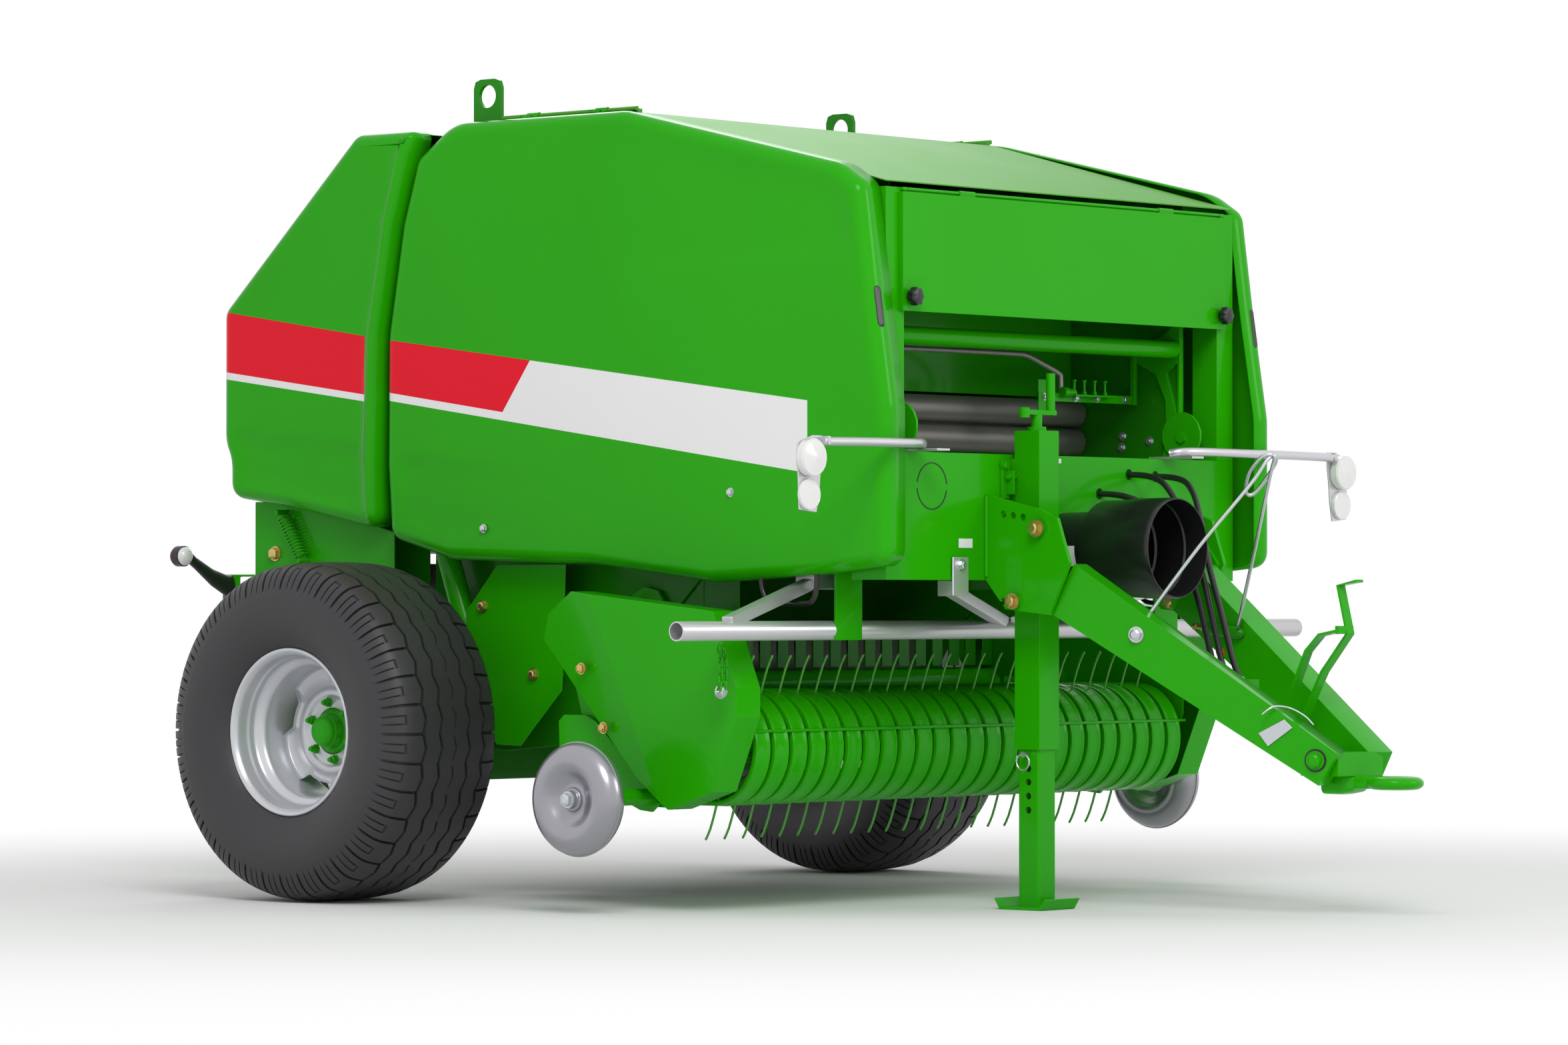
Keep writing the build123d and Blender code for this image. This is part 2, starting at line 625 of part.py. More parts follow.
# outer plates low on the tailgate carry its closing springs and the marker lamps
tail_plate_outline = [(640, 1040), (640, 790), (500, 640), (300, 560), (150, 560), (112, 700), (112, 955),
                      (420, 1035)]
tail_plate_bolts = ((560, 900), (220, 660))
spring_ends = ((513, 1010), (430, 880))
lamp_arm_foot = (672.0, 808.0)
lamp_head = (656.0, 892.0)
marker_x = 960.0
marker_half = 24.0
foot_x = guard_in + 64
tail_plates, springs, markers = [], [], []
for side, s in sides:
    tail_plate = yz_prism(tail_plate_outline, s * guard_in, s * (guard_in + 5))
    for y, z in tail_plate_bolts:
        tail_plate += x_boss(14, s * wall_out, s * (guard_in + 10), y, z, 6)
    tail_plate += block(s * (guard_in + 5), s * foot_x, 560, marker_rear - 5, 838, 844)
    tail_plate += block(s * (foot_x - 6), s * foot_x, 640, marker_rear, 770, 844)
    for y, z in spring_ends:
        tail_plate += x_boss(7, s * (guard_in + 5), s * (guard_in + 50), y, z, 8)
    tail_plates.append(tail_plate)
    (y0, z0), (y1, z1) = spring_ends
    length = hypot(y1 - y0, z1 - z0)
    coil = Pos(0, 0, length / 2) * Cylinder(19, length - 16)
    lean = degrees(atan2(z1 - z0, y1 - y0)) - 90
    springs.append(Pos(s * (guard_in + 28), y0, z0) * Rot(lean, 0, 0) * coil)
    # a rubber arm that tapers from its foot to the lamp's head
    wide = Pos(s * foot_x + s * seat, *lamp_arm_foot) * Rot(0, 90 * s, 0) * Rectangle(66, 34)
    reach = Vector(s * (marker_x - foot_x - 20), lamp_head[0] - lamp_arm_foot[0], lamp_head[1] - lamp_arm_foot[1])
    narrow = Pos(s * (marker_x - 20), *lamp_head) * Rot(0, 90 * s, 0) * Rectangle(30, 24)
    markers.append(loft([wide, narrow], ruled=True))
    head = [(-marker_half - 10, 16), (-marker_half, 27), (marker_half, 27), (marker_half + 10, 14)]
    markers.append(Pos(s * (marker_x + 7.5), lamp_head[0], lamp_head[1]) * Rot(0, 0, 90) * rings(head, 12))
keep("tailgate_plates", *tail_plates)
keep("tailgate_springs", *springs)
keep("marker_lamps", *[markers[i] + markers[i + 1] for i in (0, 2)])

# --- tailgate cylinders -------------------------------------------------------------
foot_y, foot_z = cylinder_foot
tip_y, tip_z = cylinder_eye
closed_length = hypot(tip_y - foot_y, tip_z - foot_z)
cylinder_lean = degrees(atan2(tip_z - foot_z, tip_y - foot_y)) - 90
rod_start = 150.0
barrel_length = closed_length - 150
eye_half_width = 15.0
for side, s in sides:
    at = Pos(s * cylinder_x, foot_y, foot_z) * Rot(cylinder_lean, 0, 0)
    barrel = z_boss(cylinder_barrel_radius, 46, barrel_length, 0, 0, 16)
    barrel += x_boss(28, -eye_half_width, eye_half_width, 0, 0, 12) + z_boss(15, 20, 50, 0, 0, 8)
    barrel -= x_rod(cylinder_pin_radius + running, -20, 20, 0, 0)
    barrel -= z_rod(cylinder_rod_radius + running, rod_start - 10, barrel_length + 1, 0, 0)
    keep(f"cylinder_barrel_{side}", at * barrel)
    # the rod's pin turns with its eye and ends just short of the boss on the tailgate
    rod = z_rod(cylinder_rod_radius, rod_start, closed_length - 20, 0, 0)
    rod += x_boss(28, -eye_half_width, eye_half_width, 0, closed_length, 16)
    rod += x_boss(cylinder_pin_radius, -s * (20 - seat), s * 24, 0, closed_length, 12)
    keep(f"cylinder_rod_{side}", at * rod)

# --- pick-up ------------------------------------------------------------------------
plate_in = pickup_half_width
plate_out = pickup_half_width + pickup_plate
side_outline = [(-790, 790), (-1180, 750), (-1281, 560), (-1279, 470), (-1200, 305), (-1050, 258),
                (-930, 262), (-760, 420), (-690, 640), (-700, 740)]
arm_outline = [(-700, 810), (-745, 800), (-890, 600), (-890, 520), (-800, 515), (-655, 740), (-660, 790)]
shaft_y, shaft_z, shaft_radius = pickup_tube
pickup_frame = x_boss(shaft_radius, -plate_in, plate_in, shaft_y, shaft_z, 16)
for side, s in sides:
    pickup_frame += yz_prism(side_outline, s * plate_in, s * plate_out)
    arm = yz_prism(arm_outline, s * (wall_out + 6), s * (wall_out + 18))
    arm -= x_rod(pickup_pivot_radius + running, s * wall_out, s * (wall_out + 24), *pickup_pivot)
    pickup_frame += arm
tail_y = reel_y + band_tail
for edge, rise in ((1, -20), (-1, 20)):
    z = reel_z + edge * (band_radius - band_sheet)
    pickup_frame += block(-plate_in, plate_in, tail_y, tail_y + 20, z, z + rise)
keep("pickup_frame", pickup_frame)

band_width = band_pitch - band_gap
band_first = -(band_count - 1) / 2 * band_pitch
band_centres = [band_first + i * band_pitch for i in range(band_count)]
arc_steps = 7
arc = [polar(1, 90 + 180 * i / arc_steps) for i in range(arc_steps + 1)]


def band_line(radius):
    """The strip's line at a radius: over the reel, round its front and back below it."""
    bend = [(reel_y + radius * y, reel_z + radius * z) for y, z in arc]
    return [(tail_y, reel_z + radius)] + bend + [(tail_y, reel_z - radius)]


band_outline = band_line(band_radius) + band_line(band_radius - band_sheet)[::-1]
keep("pickup_bands", *[yz_prism(band_outline, x - band_width / 2, x + band_width / 2)
                       for x in band_centres])

# reel: (angle of the tine bar, angle its tines point), as the cam track holds them at rest
tine_rows = ((114, 114), (194, 182), (294, 294), (24, 10))
reel_half = plate_in - 8
tine_xs = [c + band_pitch / 2 for c in band_centres[:-1]]


def tine_reach(bar_y, bar_z, angle):
    """Length of a tine from its bar to the circle of the tips."""
    along = (bar_y - reel_y) * cos(radians(angle)) + (bar_z - reel_z) * sin(radians(angle))
    return -along + (along ** 2 - tine_bar_circle ** 2 + tine_tip_radius ** 2) ** 0.5


def tine_row(bar_angle, tine_angle):
    """A bar across the reel with its spring tines."""
    by, bz = polar(tine_bar_circle, bar_angle, reel_y, reel_z)
    ty, tz = polar(tine_reach(by, bz, tine_angle), tine_angle, by, bz)
    row = x_boss(tine_bar_radius, -reel_half + 4, reel_half - 4, by, bz, 6)
    return row.fuse(*[bar((x, by, bz), (x, ty, tz), tine_side, tine_side) for x in tine_xs])


reel = x_rod(reel_shaft_radius, -plate_in + seat, plate_in - seat, reel_y, reel_z)
for x in (-reel_half + 6, 0, reel_half - 6):
    reel += x_boss(tine_bar_circle + 16, x - 3, x + 3, reel_y, reel_z, 16)
reel = reel.fuse(*[tine_row(*row) for row in tine_rows])
keep("tine_reel", reel)

# covers outside the side plates: a folded tray whose rear strip slopes back toward the machine
cover_top, cover_foot = (-852, 762), (-1020, 405)
cover_outline = [(-774, 797), (-675, 739), (-651, 675), (-999, 333), (-1110, 258), (-1258, 305), (-1335, 490),
                 (-1335, 560), (-1258, 748)]
cover_in = plate_out + seat
crease_y, crease_z = cover_foot[0] - cover_top[0], cover_foot[1] - cover_top[1]
crease = Vector(0, crease_y, crease_z).normalized()
across = Vector(0, -crease.Z, crease.Y)


def cover_block(shrink):
    """The cover's body for the left side; shrink takes it in by the sheet."""
    face = Polygon(*cover_outline, align=None)
    if shrink:
        face = offset(face, -shrink, kind=Kind.INTERSECTION)
    body = Pos(cover_in - shrink, 0, 0) * extrude(Plane.YZ * face, amount=cover_depth, dir=(1, 0, 0))
    edge = cover_in + cover_depth - shrink
    cutter = Plane(origin=(edge, *cover_top), x_dir=across, z_dir=crease)
    slope = cutter * Polygon((0, 0), (260, 50), (260, -60), (0, -60), align=None)
    flip = 1 if cutter.y_dir.X < 0 else -1
    if flip < 0:
        slope = cutter * Polygon((0, 0), (260, -50), (260, 60), (0, 60), align=None)
    body -= Pos(0, -crease.Y * 200, -crease.Z * 200) * extrude(slope, amount=800, dir=crease)
    return body


cover = cover_block(0) - cover_block(sheet)
wheel_profile = [(-gauge_half_width, 100), (-gauge_half_width + 8, 128), (-10, gauge_radius),
                 (10, gauge_radius), (gauge_half_width - 8, 128), (gauge_half_width, 100)]
gauge_wheel = rings(wheel_profile, 24)
for s in (-1, 1):
    dish = rings([(gauge_half_width - 18, 40), (gauge_half_width + 1, 98)], 24)
    gauge_wheel -= on_side(dish, s)
    gauge_wheel += on_side(x_boss(24, gauge_half_width - 19, gauge_half_width - 4, 0, 0), s)
gauge_wheel -= x_rod(gauge_axle_radius + running, -60, 60, 0, 0)
# each gauge wheel hangs on a plate arm bolted to the side plate, below the cover
gauge_arm_outline = [(gauge_y - 34, gauge_z - 16), (gauge_y - 8, gauge_z - 38), (gauge_y + 30, gauge_z - 34),
                     (-676, 362), (-672, 470), (-690, 486), (-764, 486), (-800, 470)]
pickup_covers, gauge_arms = [], []
for side, s in sides:
    keep(f"gauge_wheel_{side}", Pos(s * gauge_x, gauge_y, gauge_z) * gauge_wheel)
    arm = yz_prism(gauge_arm_outline, s * (plate_out + 4), s * (plate_out + 14))
    arm += x_boss(16, s * (plate_out + seat), s * (plate_out + 4), -800, 420, 8)
    arm += x_boss(20, s * (plate_out + 14), s * (gauge_x - gauge_half_width + 4), gauge_y, gauge_z)
    arm += x_rod(gauge_axle_radius, s * (gauge_x - gauge_half_width), s * (gauge_x + gauge_half_width),
                 gauge_y, gauge_z)
    gauge_arms.append(arm)
    notch = yz_prism([(gauge_y - 40, gauge_z - 60), (gauge_y + 120, gauge_z - 60), (-640, 340), (-640, 500),
                      (-770, 500), (gauge_y - 40, gauge_z + 30)], s * (plate_out - 1), s * (plate_out + 20))
    pickup_covers.append(on_side(cover, s) - notch)
keep("pickup_covers", *pickup_covers)
keep("gauge_arms", *gauge_arms)

# a comb hung between the walls holds the hay down as it enters the chamber
comb_half = chamber_half_width - seat
comb_teeth = [x for x in band_centres if abs(x) < comb_half - 25]
comb = block(-comb_half, comb_half, comb_y - 3, comb_y + 3, comb_top - 30, comb_top)
comb = comb.fuse(*[block(x - 21, x + 21, comb_y - 3, comb_y + 3, comb_tip, comb_top - 30) for x in comb_teeth])
for side, s in sides:
    comb += block(s * (comb_half - 6), s * comb_half, comb_y - 12, comb_y + 12, comb_top - 30, beam_bottom + 40)
keep("inlet_comb", comb)

# --- drawbar ------------------------------------------------------------------------
drawbar_outline = [(frame_front, 1040), (-1753, 1000), (-1807, 978), (-1845, 867), (-1782, 738),
                   (-1644, 752), (frame_front, beam_bottom + 1)]
plate_face = drawbar_plate_x - drawbar_plate_t / 2
drawbar_plates = []
for side, s in sides:
    pivot_plate = yz_prism(drawbar_outline, s * plate_face, s * (plate_face + drawbar_plate_t))
    holes = ((-1637, 988), (-1668, 985), (-1699, 981), (-1637, 772))
    for y, z in holes:
        pivot_plate -= x_boss(9, s * (plate_face - 1), s * (plate_face + drawbar_plate_t + 1), y, z, 8)
    for y, z in ((-1750, 953), (-1676, 772)):
        pivot_plate += x_boss(16, s * (plate_face + drawbar_plate_t), s * (plate_face + drawbar_plate_t + 12),
                              y, z, 6)
    drawbar_plates.append(pivot_plate)
keep("drawbar_plates", *drawbar_plates)
arm_rear = (drawbar_plate_x - 56, -1790.0, 806.0)
arm_front = (86.0, -2470.0, 364.0)
arm_rear_height, arm_front_height = 138.0, 92.0


def drawbar_arm(s):
    """One tapered box arm with the end plate that bolts inside the pivot plate."""
    p = Vector(s * arm_rear[0], *arm_rear[1:])
    q = Vector(s * arm_front[0], *arm_front[1:])
    level = Vector(0, 0, 1).cross(q - p)
    sections = [Plane(origin=at, x_dir=level, z_dir=q - p) * Rectangle(arm_width, high)
                for at, high in ((p, arm_rear_height), (q, arm_front_height))]
    arm = loft(sections, ruled=True)
    end = [(-1625, 990), (-1750, 985), (-1835, 866), (-1775, 742), (-1650, 762)]
    return arm + yz_prism(end, s * (plate_face - seat), s * (plate_face - seat - 12))


arms = [drawbar_arm(s) for _, s in sides]
ring_low, ring_high = hitch_z - ring_thickness / 2, hitch_z + ring_thickness / 2
tow = Rot(0, -90, 0) * rings([(ring_low, ring_outer_radius - 8), (ring_low + 8, ring_outer_radius),
                              (ring_high - 8, ring_outer_radius), (ring_high, ring_outer_radius - 8)], 24)
tow = Pos(0, hitch_y, 0) * tow
tow += block(-29, 29, hitch_y + 20, -2400, ring_low, ring_high)
keep("tow_ring", tow - z_rod(ring_hole_radius, ring_low - 1, ring_high + 1, 0, hitch_y))
head = block(-95, 95, -2490, -2380, ring_high, 405)
for arm in arms:
    head -= arm
hose_rest = block(-118, -34, -2210, -2203.3, 505, 580) - arms[0]
keep("drawbar_arms", *arms, head.solids().sort_by(SortBy.VOLUME)[-1],
     hose_rest.solids().sort_by(SortBy.VOLUME)[-1])

# a bent strip on the drawbar on which hoses and the shaft are hung up
hook_line = [(-2272, 440), (-2297, 489), (-2355, 599), (-2431, 693), (-2403, 811), (-2460, 822)]
branch_line = [(-2425, 700), (-2370, 690), (-2330, 650), (-2290, 560)]
hook_x = 40.0
hook = ribbon(hook_line, hook_x, 30, 7) + ribbon(branch_line, hook_x - 33, 30, 7)
hook += block(hook_x - 48, hook_x + 15, -2431, -2420, 692, 712)
hook += block(hook_x - 90, hook_x + 90, -2282, -2262, 432, 448)
for arm in arms:
    hook -= arm
keep("hose_hook", hook.solids().sort_by(SortBy.VOLUME)[-1])

# a sprung wire on which the drive shaft rests when it is off the tractor
wire = [(-190, -1984, 745), (-30, -2180, 1060), (0, -2214, 1129), (30, -2214, 1110), (40, -2150, 1040),
        (10, -2135, 1060), (-20, -2190, 1120), (0, -2230, 1090), (150, -2010, 707)]
holder = round_bar(wire, 5)
for arm in arms:
    holder -= arm
keep("shaft_holder", holder.solids().sort_by(SortBy.VOLUME)[-1])

# --- jack ---------------------------------------------------------------------------
def square_tube(side, inner_side, z0, z1):
    """An upright square tube on the jack's centre line."""
    tube = Box(side, side, z1 - z0) - Box(inner_side, inner_side, z1 - z0 + 2)
    return Pos(jack_x, jack_y, (z0 + z1) / 2) * tube


tube_half = jack_tube_side / 2
leg_side = jack_tube_side - 2 * (jack_wall + jack_slack)
tube = square_tube(jack_tube_side, jack_tube_side - 2 * jack_wall, jack_tube_bottom, jack_tube_top)
tube += block(jack_x - tube_half, jack_x + tube_half, jack_y - tube_half, jack_y + tube_half,
              jack_tube_top - plate, jack_tube_top)
tube -= z_rod(screw_radius + running, jack_tube_top - 2 * plate, jack_tube_top + 1, jack_x, jack_y)
tube += block(jack_x - tube_half, jack_x + tube_half, jack_y + tube_half, frame_front, beam_bottom + 25,
              beam_top - 11)
keep("jack_tube", tube)
leg = square_tube(leg_side, leg_side - 2 * jack_wall, jack_foot_plate, jack_leg_top)
for z in (390, 360, 330):
    leg -= y_boss(8, jack_y - tube_half, jack_y, jack_x, z, 8)
foot_half = jack_foot_side / 2
foot_line = [(-foot_half - 12, 26), (-foot_half + 4, 0), (foot_half - 4, 0), (foot_half + 12, 26),
             (foot_half + 6, 30), (foot_half - 8, jack_foot_plate), (-foot_half + 8, jack_foot_plate),
             (-foot_half - 6, 30)]
foot = yz_prism([(jack_y + a, z) for a, z in foot_line], jack_x - foot_half, jack_x + foot_half)
keep("jack_leg", leg + foot)
crank_z = jack_tube_top + 40
crank = z_rod(screw_radius, 500, crank_z + 2, jack_x, jack_y)
crank += z_boss(24, jack_tube_top + seat, jack_tube_top + 10, jack_x, jack_y)
crank += block(jack_x - 48, jack_x + 68, jack_y - 11, jack_y + 11, crank_z, crank_z + 12)
crank += z_boss(13, crank_z - 8, crank_z + 18, jack_x - 50, jack_y, 10)
crank += z_boss(11, crank_z + 12, crank_z + 106, jack_x + 56, jack_y, 8)
keep("jack_crank", crank)

# --- drive shaft stub and its guard -------------------------------------------------
guard_wall = 4.0
neck = pto_guard_radius - 34


def guard_rings(wall):
    """The guard's outside, or with a wall its inside, as rings along the shaft."""
    return Pos(0, 0, pto_z) * Rot(0, 0, -90) * rings(
        [(-frame_front + seat, neck - wall), (-pto_guard_step + wall, neck + 3 - wall),
         (-pto_guard_step + 8 + wall, pto_guard_radius - 6 - wall), (-pto_guard_front, pto_guard_radius - wall)],
        24)


keep("pto_guard", guard_rings(0) - guard_rings(guard_wall))
shaft_end = gearbox_back - 230 - seat
keep("pto_shaft", y_rod(pto_shaft_radius, shaft_end - pto_shaft_length, shaft_end, 0, pto_z))

# --- lamps --------------------------------------------------------------------------
lamp_arms, lamp_lenses = [], []
lamp_z, reflector_z = beam_top - 25, beam_top - 113
arm_z = beam_top + 6
for side, s in sides:
    mount_in, board_in, board_out = half - 124, lamp_x - 56, lamp_x + 40
    lamp_arm = block(s * mount_in, s * (mount_in + 50), lamp_y - 14, frame_front + 40, beam_top, arm_z)
    lamp_arm += block(s * (mount_in + 10), s * board_in, lamp_y - 12, lamp_y + 12, arm_z, arm_z + 20)
    lamp_arm += block(s * board_in, s * board_out, lamp_y + 14, lamp_y + 18, beam_top - 156, beam_top + 29)
    lamp_arm += block(s * board_in, s * (board_in + 8), lamp_y - 14, lamp_y + 18, beam_top, arm_z + 20)
    lamp_arms.append(lamp_arm)
    lens_back = lamp_y + 14 - seat
    lamp_lenses.append(y_boss(lamp_radius, lamp_y - 14, lens_back, s * lamp_x, lamp_z, 20))
    lamp_lenses.append(y_boss(reflector_radius, lamp_y + 5, lens_back, s * lamp_x, reflector_z, 20))
keep("lamp_arms", *lamp_arms)
keep("lamp_lenses", *lamp_lenses)

# --- guard bar ----------------------------------------------------------------------
guard_bar = x_boss(guard_bar_radius, -guard_bar_half, guard_bar_half, guard_bar_y, guard_bar_z, 16)
wall_foot = beam_bottom + 25
for side, s in sides:
    # two struts from the beam's lower edge and two from under the chamber walls
    guard_bar += bar((s * 423, -1545, beam_bottom - 24), (s * 10, guard_bar_y, guard_bar_z + 10),
                     strut_side, strut_side)
    guard_bar += block(s * 403, s * 443, -1570, -1520, beam_bottom - 40, beam_bottom)
    guard_bar += bar((s * (wall_out + 84), -1310, beam_bottom - 10), (s * 1080, guard_bar_y, guard_bar_z + 12),
                     strut_side, strut_side)
    guard_bar += block(s * chamber_half_width, s * (wall_out + 94), -1345, -1275, beam_bottom - 24, wall_foot)
    guard_bar += block(s * chamber_half_width, s * (wall_out + 94), -1409, -1401, guard_bar_z - 24, wall_foot)
keep("guard_bar", guard_bar)

# --- hydraulic hoses ----------------------------------------------------------------
# each leaves its hole in the beam, hangs down past the shaft guard and runs inside the
# drawbar to the plate that holds the hose ends
hose_routes = (
    [(140, frame_front + seat, 1047), (140, -1655, 1047), (154, -1745, 1005), (170, -1810, 900),
     (160, -1872, 800), (95, -1950, 700), (20, -2025, 628), (-36, -2090, 576), (-68, -2146, 541),
     (-78, -2200.7, 528)],
    [(264, frame_front + seat, 1098), (264, -1665, 1098), (236, -1745, 1045), (200, -1815, 950),
     (172, -1882, 850), (108, -1958, 742), (34, -2036, 656), (-30, -2098, 604), (-68, -2150, 574),
     (-86, -2199.7, 562)],
    [(376, frame_front + seat, 1095), (376, -1665, 1095), (325, -1745, 1050), (262, -1812, 975),
     (196, -1880, 880), (130, -1962, 780), (62, -2040, 690), (8, -2100, 622), (-28, -2150, 572),
     (-46, -2198.4, 545)],
)


def hose(points):
    """A tube along straight runs joined by arcs tangent to both."""
    points = [Vector(*p) for p in points]
    edges, start = [], points[0]
    for a, b, c in zip(points, points[1:], points[2:]):
        u, v = a - b, c - b
        turn = radians(180 - u.get_angle(v))
        reach = 0.45 * min(u.length, v.length)
        enter, leave = b + u.normalized() * reach, b + v.normalized() * reach
        radius = reach / tan(turn / 2)
        print(f"hose bend radius {radius:.0f}")
        middle = b + (u.normalized() + v.normalized()).normalized() * (radius / cos(turn / 2) - radius)
        edges += [Line(start, enter), ThreePointArc(enter, middle, leave)]
        start = leave
    edges.append(Line(start, points[-1]))
    path = Wire([e.edge() for e in edges])
    profile = Plane(origin=points[0], z_dir=points[1] - points[0]) * RegularPolygon(hose_radius, 8)
    return sweep(profile, path=path)


for number, route in enumerate(hose_routes, 1):
    keep(f"hose_{number}", hose(route))
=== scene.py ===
import json
from math import ceil, cos, pi, radians, sin

import bmesh
import bpy
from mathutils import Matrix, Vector
from mathutils.geometry import delaunay_2d_cdt

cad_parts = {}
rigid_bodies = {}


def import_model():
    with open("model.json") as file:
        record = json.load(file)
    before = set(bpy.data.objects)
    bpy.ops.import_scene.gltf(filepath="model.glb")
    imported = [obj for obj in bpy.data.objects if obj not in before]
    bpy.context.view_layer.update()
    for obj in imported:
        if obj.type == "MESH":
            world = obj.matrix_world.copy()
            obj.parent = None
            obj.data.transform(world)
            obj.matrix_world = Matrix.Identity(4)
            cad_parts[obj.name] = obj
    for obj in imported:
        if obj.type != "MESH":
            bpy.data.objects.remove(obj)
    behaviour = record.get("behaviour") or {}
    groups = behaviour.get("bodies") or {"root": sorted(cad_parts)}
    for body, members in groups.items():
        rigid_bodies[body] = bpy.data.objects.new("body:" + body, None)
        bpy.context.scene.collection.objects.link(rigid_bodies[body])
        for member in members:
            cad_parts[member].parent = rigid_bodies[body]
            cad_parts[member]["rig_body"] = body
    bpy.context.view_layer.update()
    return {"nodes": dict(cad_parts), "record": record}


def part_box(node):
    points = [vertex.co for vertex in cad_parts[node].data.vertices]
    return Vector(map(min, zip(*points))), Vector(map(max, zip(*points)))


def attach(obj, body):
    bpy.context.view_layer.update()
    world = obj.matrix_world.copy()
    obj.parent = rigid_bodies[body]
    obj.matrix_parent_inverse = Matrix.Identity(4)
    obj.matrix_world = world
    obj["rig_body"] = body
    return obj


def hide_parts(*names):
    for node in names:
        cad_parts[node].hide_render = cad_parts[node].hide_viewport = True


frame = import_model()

nodes = frame["nodes"]
scene = bpy.context.scene

# --- camera -------------------------------------------------------------------------
# A long lens a little below the middle of the machine, turned 49 degrees from its length
# so that its right side and its front both show.
axle_low, axle_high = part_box("axle")
axle_y = (axle_low.y + axle_high.y) / 2
lens = bpy.data.cameras.new("camera")
lens.lens, lens.sensor_width, lens.clip_end = 131.68, 36, 200
camera = bpy.data.objects.new("camera", lens)
scene.collection.objects.link(camera)
camera.location = (-11.498, axle_y - 10.567, 0.776)
camera.rotation_euler = (radians(90.7715), 0, radians(-49.175))
scene.camera = camera

# --- hydraulic hoses ----------------------------------------------------------------
# Three black rubber hoses leave holes in the beam, hang past the shaft guard and run
# inside the drawbar to the plate that holds their ends.


def at_axle(x, y, z):
    """A point measured in millimetres from the axle and the ground, in the row frame."""
    return Vector((x / 1000, y / 1000 + axle_y, z / 1000))


def feed(tree, node, inputs):
    """Link or set a node's inputs, by name or by number."""
    for label, value in inputs.items():
        if isinstance(value, bpy.types.NodeSocket):
            tree.links.new(value, node.inputs[label])
        else:
            node.inputs[label].default_value = value


def put(tree, kind, inputs=None, **settings):
    """Add a node to a tree, with its settings and its inputs."""
    node = tree.nodes.new(kind)
    for label, value in settings.items():
        setattr(node, label, value)
    feed(tree, node, inputs or {})
    return node


def material(name, colour, roughness, metallic=0.0, coat=0.0, grain=0.0, grain_scale=300.0, mottle=0.05, shine=0.5):
    """A finish with a faint change of colour and gloss over the surface and a fine grain."""
    made = bpy.data.materials.new(name)
    made.use_nodes = True
    tree = made.node_tree
    here = put(tree, "ShaderNodeTexCoord").outputs["Object"]
    cloud = put(tree, "ShaderNodeTexNoise", {"Vector": here, "Scale": 2.3, "Detail": 3}).outputs["Fac"]
    speck = put(tree, "ShaderNodeTexNoise", {"Vector": here, "Scale": grain_scale, "Detail": 2}).outputs["Fac"]
    dark, light = ((*(min(1.0, c * (1 + change)) for c in colour), 1) for change in (-mottle, mottle))
    shade = put(tree, "ShaderNodeMix", {"Factor": cloud, "A": dark, "B": light}, data_type="RGBA", name="shade")
    gloss = put(tree, "ShaderNodeMapRange", {"Value": cloud, "To Min": roughness * 0.85, "To Max": roughness * 1.15})
    bump = put(tree, "ShaderNodeBump", {"Height": speck, "Strength": grain, "Distance": 0.0005}, name="bump")
    feed(tree, tree.nodes["Principled BSDF"],
         {"Base Color": shade.outputs["Result"], "Roughness": gloss.outputs["Result"],
          "Normal": bump.outputs["Normal"], "Metallic": metallic, "Coat Weight": coat, "Coat Roughness": 0.06,
          "Specular IOR Level": shine})
    return made


rubber = material("hose_rubber", (0.012, 0.012, 0.013), 0.42, grain=0.3, grain_scale=900)
hose_radius = 0.008
hose_routes = (
    [(140, -1579.7, 1047), (140, -1655, 1047), (154, -1745, 1005), (170, -1810, 900),
     (160, -1872, 800), (95, -1950, 700), (20, -2025, 628), (-36, -2090, 576), (-68, -2146, 541),
     (-78, -2200.7, 528)],
    [(264, -1579.7, 1098), (264, -1665, 1098), (236, -1745, 1045), (200, -1815, 950),
     (172, -1882, 850), (108, -1958, 742), (34, -2036, 656), (-30, -2098, 604), (-68, -2150, 574),
     (-86, -2199.7, 562)],
    [(376, -1579.7, 1095), (376, -1665, 1095), (325, -1745, 1050), (262, -1812, 975),
     (196, -1880, 880), (130, -1962, 780), (62, -2040, 690), (8, -2100, 622), (-28, -2150, 572),
     (-46, -2198.4, 545)],
)
hose_lengths = (0.905, 0.93, 0.97)
for number, (route, length) in enumerate(zip(hose_routes, hose_lengths), 1):
    line = bpy.data.curves.new(f"hose_{number}_line", "CURVE")
    line.dimensions = "3D"
    line.bevel_depth, line.bevel_resolution, line.resolution_u = hose_radius, 5, 10
    line.use_fill_caps = True
    spline = line.splines.new("NURBS")
    spline.points.add(len(route) - 1)
    for point, place in zip(spline.points, route):
        point.co = (*at_axle(*place), 1)
    spline.order_u = 3
    spline.use_endpoint_u = True
    hose = bpy.data.objects.new(f"hydraulic_hose_{number}", line)
    scene.collection.objects.link(hose)
    line.materials.append(rubber)
    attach(hose, "chassis")
    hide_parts(f"hose_{number}")

# --- floor, backdrop and lights -----------------------------------------------------
# A pale floor that turns white away from the machine, a white surround seen only by the
# camera and by gloss, and three large soft lamps.


def link_mesh(name, mesh):
    """A new object for a mesh, put in the scene."""
    obj = bpy.data.objects.new(name, mesh)
    scene.collection.objects.link(obj)
    return obj


floor_mesh = bpy.data.meshes.new("floor")
reach = 60
floor_mesh.from_pydata([(-reach, -reach, 0), (reach, -reach, 0), (reach, reach, 0), (-reach, reach, 0)], [],
                       [(0, 1, 2, 3)])
floor = link_mesh("floor", floor_mesh)
floor_paint = bpy.data.materials.new("floor")
floor_paint.use_nodes = True


